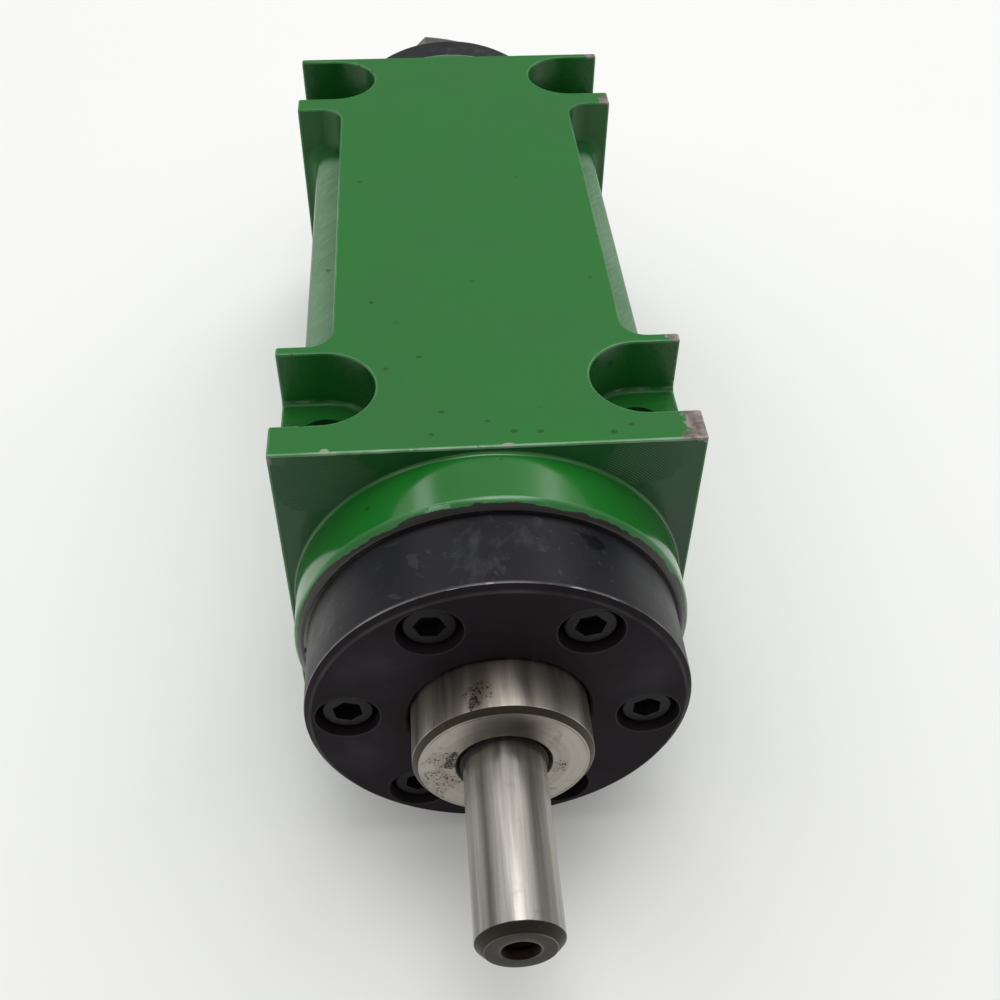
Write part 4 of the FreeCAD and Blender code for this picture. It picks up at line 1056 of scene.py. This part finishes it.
cut(nut, as_object("nut_bore", lathe([(NUT_START - 1, 0, 0), (NUT_START - 1, 13.2, 0), (NUT_START + 0.65, 12.55, 0),
                                      (139.0, 12.55, 0), (139.0, 10.4, 0), (141.35, 10.4, 0), (NUT_END, mouth, 0),
                                      (NUT_END + 1, mouth, 0), (NUT_END + 1, 0, 0)])))
finish_piece(nut, [nut_steel], "collet_nut", "collet_nut")

# %% [markdown]
# The pieces that stay hidden, and the collet, keep their CAD solids, whose shapes are right. Each gets the finish of
# its real material.

# %% Finishes for the CAD solids that stay
KEPT = {"collet": collet_steel, "wave_spring": spring_steel, "rear_felt_seal": felt, "front_felt_seal": felt,
        "outer_spacer_ring": spacer_steel, "inner_spacer_ring": spacer_steel, "long_spacer_sleeve": spacer_steel}
for place in ("rear", "inner", "nose"):
    KEPT[place + "_bearing_outer_ring"] = race_steel
    KEPT[place + "_bearing_inner_ring"] = race_steel
    KEPT[place + "_bearing_balls"] = ball_steel
    KEPT[place + "_bearing_cage"] = cage_brass
for name, finish in KEPT.items():
    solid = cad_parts[name]
    solid.data.materials.clear()
    solid.data.materials.append(finish)
print(len(KEPT), "CAD solids kept")

# %% [markdown]
# The head stands on a pale sheet under soft light. Two wide lamps hang over it, a little behind and more to the
# right, so the top is bright, the near faces are dark and the soft shadow falls to the left. The room fills the rest:
# its ceiling is light in bands, its walls are dimmer, and it is darkest behind the camera. Bright steel mirrors the
# lamps, the gap between them and those bands. The sheet and the wall behind it should look pale without lighting
# the object more, so Light Path lets only what the camera sees, or a mirroring piece shows, take their pale level.

# %% Floor, lamps and world
PAPER_GLOW = 0.1
floor_bm = bmesh.new()
bmesh.ops.create_grid(floor_bm, x_segments=8, y_segments=8, size=6.0)
floor = as_object("floor", floor_bm)
paper, tree, shader, place = start_finish("paper", Roughness=0.85, Specular_IOR_Level=0.1)
grain = node(tree, "ShaderNodeTexNoise", {"Vector": place, "Scale": 6.0, "Detail": 3.0}).outputs[0]
set_colour(tree, shader, mix_colour(tree, grain, tint(236, 238, 234), tint(242, 242, 240)))
seen = node(tree, "ShaderNodeLightPath").outputs
looked_at = math_node(tree, "ADD", seen["Is Camera Ray"], seen["Is Glossy Ray"])
looked_at = math_node(tree, "ADD", looked_at, seen["Is Transmission Ray"], clamp=True)
tree.links.new(math_node(tree, "MULTIPLY", looked_at, PAPER_GLOW), shader.inputs["Emission Strength"])
shader.inputs["Emission Color"].default_value = (1.0, 1.0, 1.0, 1.0)
floor.data.materials.append(paper)


def area_lamp(name, place, target, width, length, power):
    data = bpy.data.lights.new(name, "AREA")
    data.shape, data.size, data.size_y, data.energy = "RECTANGLE", width, length, power
    lamp = bpy.data.objects.new(name, data)
    lamp.location = place
    lamp.rotation_euler = (Vector(target) - Vector(place)).to_track_quat("-Z", "Y").to_euler()
    bpy.context.scene.collection.objects.link(lamp)
    return lamp


def profile(tree, value, stops):
    """Level along one direction, from stops that run from -1 to 1."""
    ramp = node(tree, "ShaderNodeValToRGB", {0: threshold(tree, value, -1.0, 1.0)})
    elements = ramp.color_ramp.elements
    for index, (place, level) in enumerate(stops):
        stop = elements[index] if index < 2 else elements.new(1.0)
        stop.position = (place + 1) / 2
        stop.color = (level, level, level, 1.0)
    return ramp.outputs[0]


WALL_LEVEL = 0.76


def room_light(world):
    """Light by direction, and a plain pale wall wherever the camera or a mirroring piece looks at the horizon."""
    sky = world.node_tree
    way = node(sky, "ShaderNodeSeparateXYZ", {0: node(sky, "ShaderNodeTexCoord").outputs["Generated"]}).outputs
    across = profile(sky, way["X"], ((-1.0, 0.55), (-0.86, 0.55), (-0.70, 1.3), (-0.56, 1.5), (-0.46, 0.9), (-0.34, 0.8), (-0.2, 1.0),
                                     (0.3, 1.0), (0.5, 0.9), (0.66, 1.1), (0.80, 0.65), (1.0, 0.60)))
    along = profile(sky, way["Y"], ((-1.0, 0.34), (-0.3, 0.60), (0.05, 1.0), (0.35, 0.95), (0.60, 0.60), (1.0, 0.50)))
    upward = node(sky, "ShaderNodeMapRange", {0: way["Z"], 1: -0.05, 2: 0.55, 3: 0.42, 4: 0.92}).outputs[0]
    level = math_node(sky, "MULTIPLY", across, math_node(sky, "MULTIPLY", upward, along))
    seen = node(sky, "ShaderNodeLightPath").outputs
    mirrored = math_node(sky, "ADD", seen["Is Glossy Ray"], seen["Is Transmission Ray"], clamp=True)
    mirrored = math_node(sky, "MULTIPLY", mirrored, threshold(sky, way["Z"], 0.25, 0.0))
    plain = math_node(sky, "ADD", seen["Is Camera Ray"], mirrored, clamp=True)
    back = sky.nodes["Background"]
    back.inputs["Color"].default_value = (1.0, 1.0, 1.0, 1.0)
    shown = node(sky, "ShaderNodeMapRange", {0: plain, 1: 0.0, 2: 1.0, 3: level, 4: WALL_LEVEL}).outputs[0]
    sky.links.new(shown, back.inputs["Strength"])


area_lamp("left_lamp", (-0.25, 0.30, 1.1), (0, 0, 0.04), 0.30, 1.6, 2.9)
area_lamp("right_lamp", (0.29, 0.30, 1.1), (0, 0, 0.04), 0.42, 1.6, 4.3)
world = bpy.data.worlds.new("room")
bpy.context.scene.world = world
world.use_nodes = True
room_light(world)
bpy.context.scene.view_settings.view_transform = "Standard"
print("floor, two lamps and a soft room")
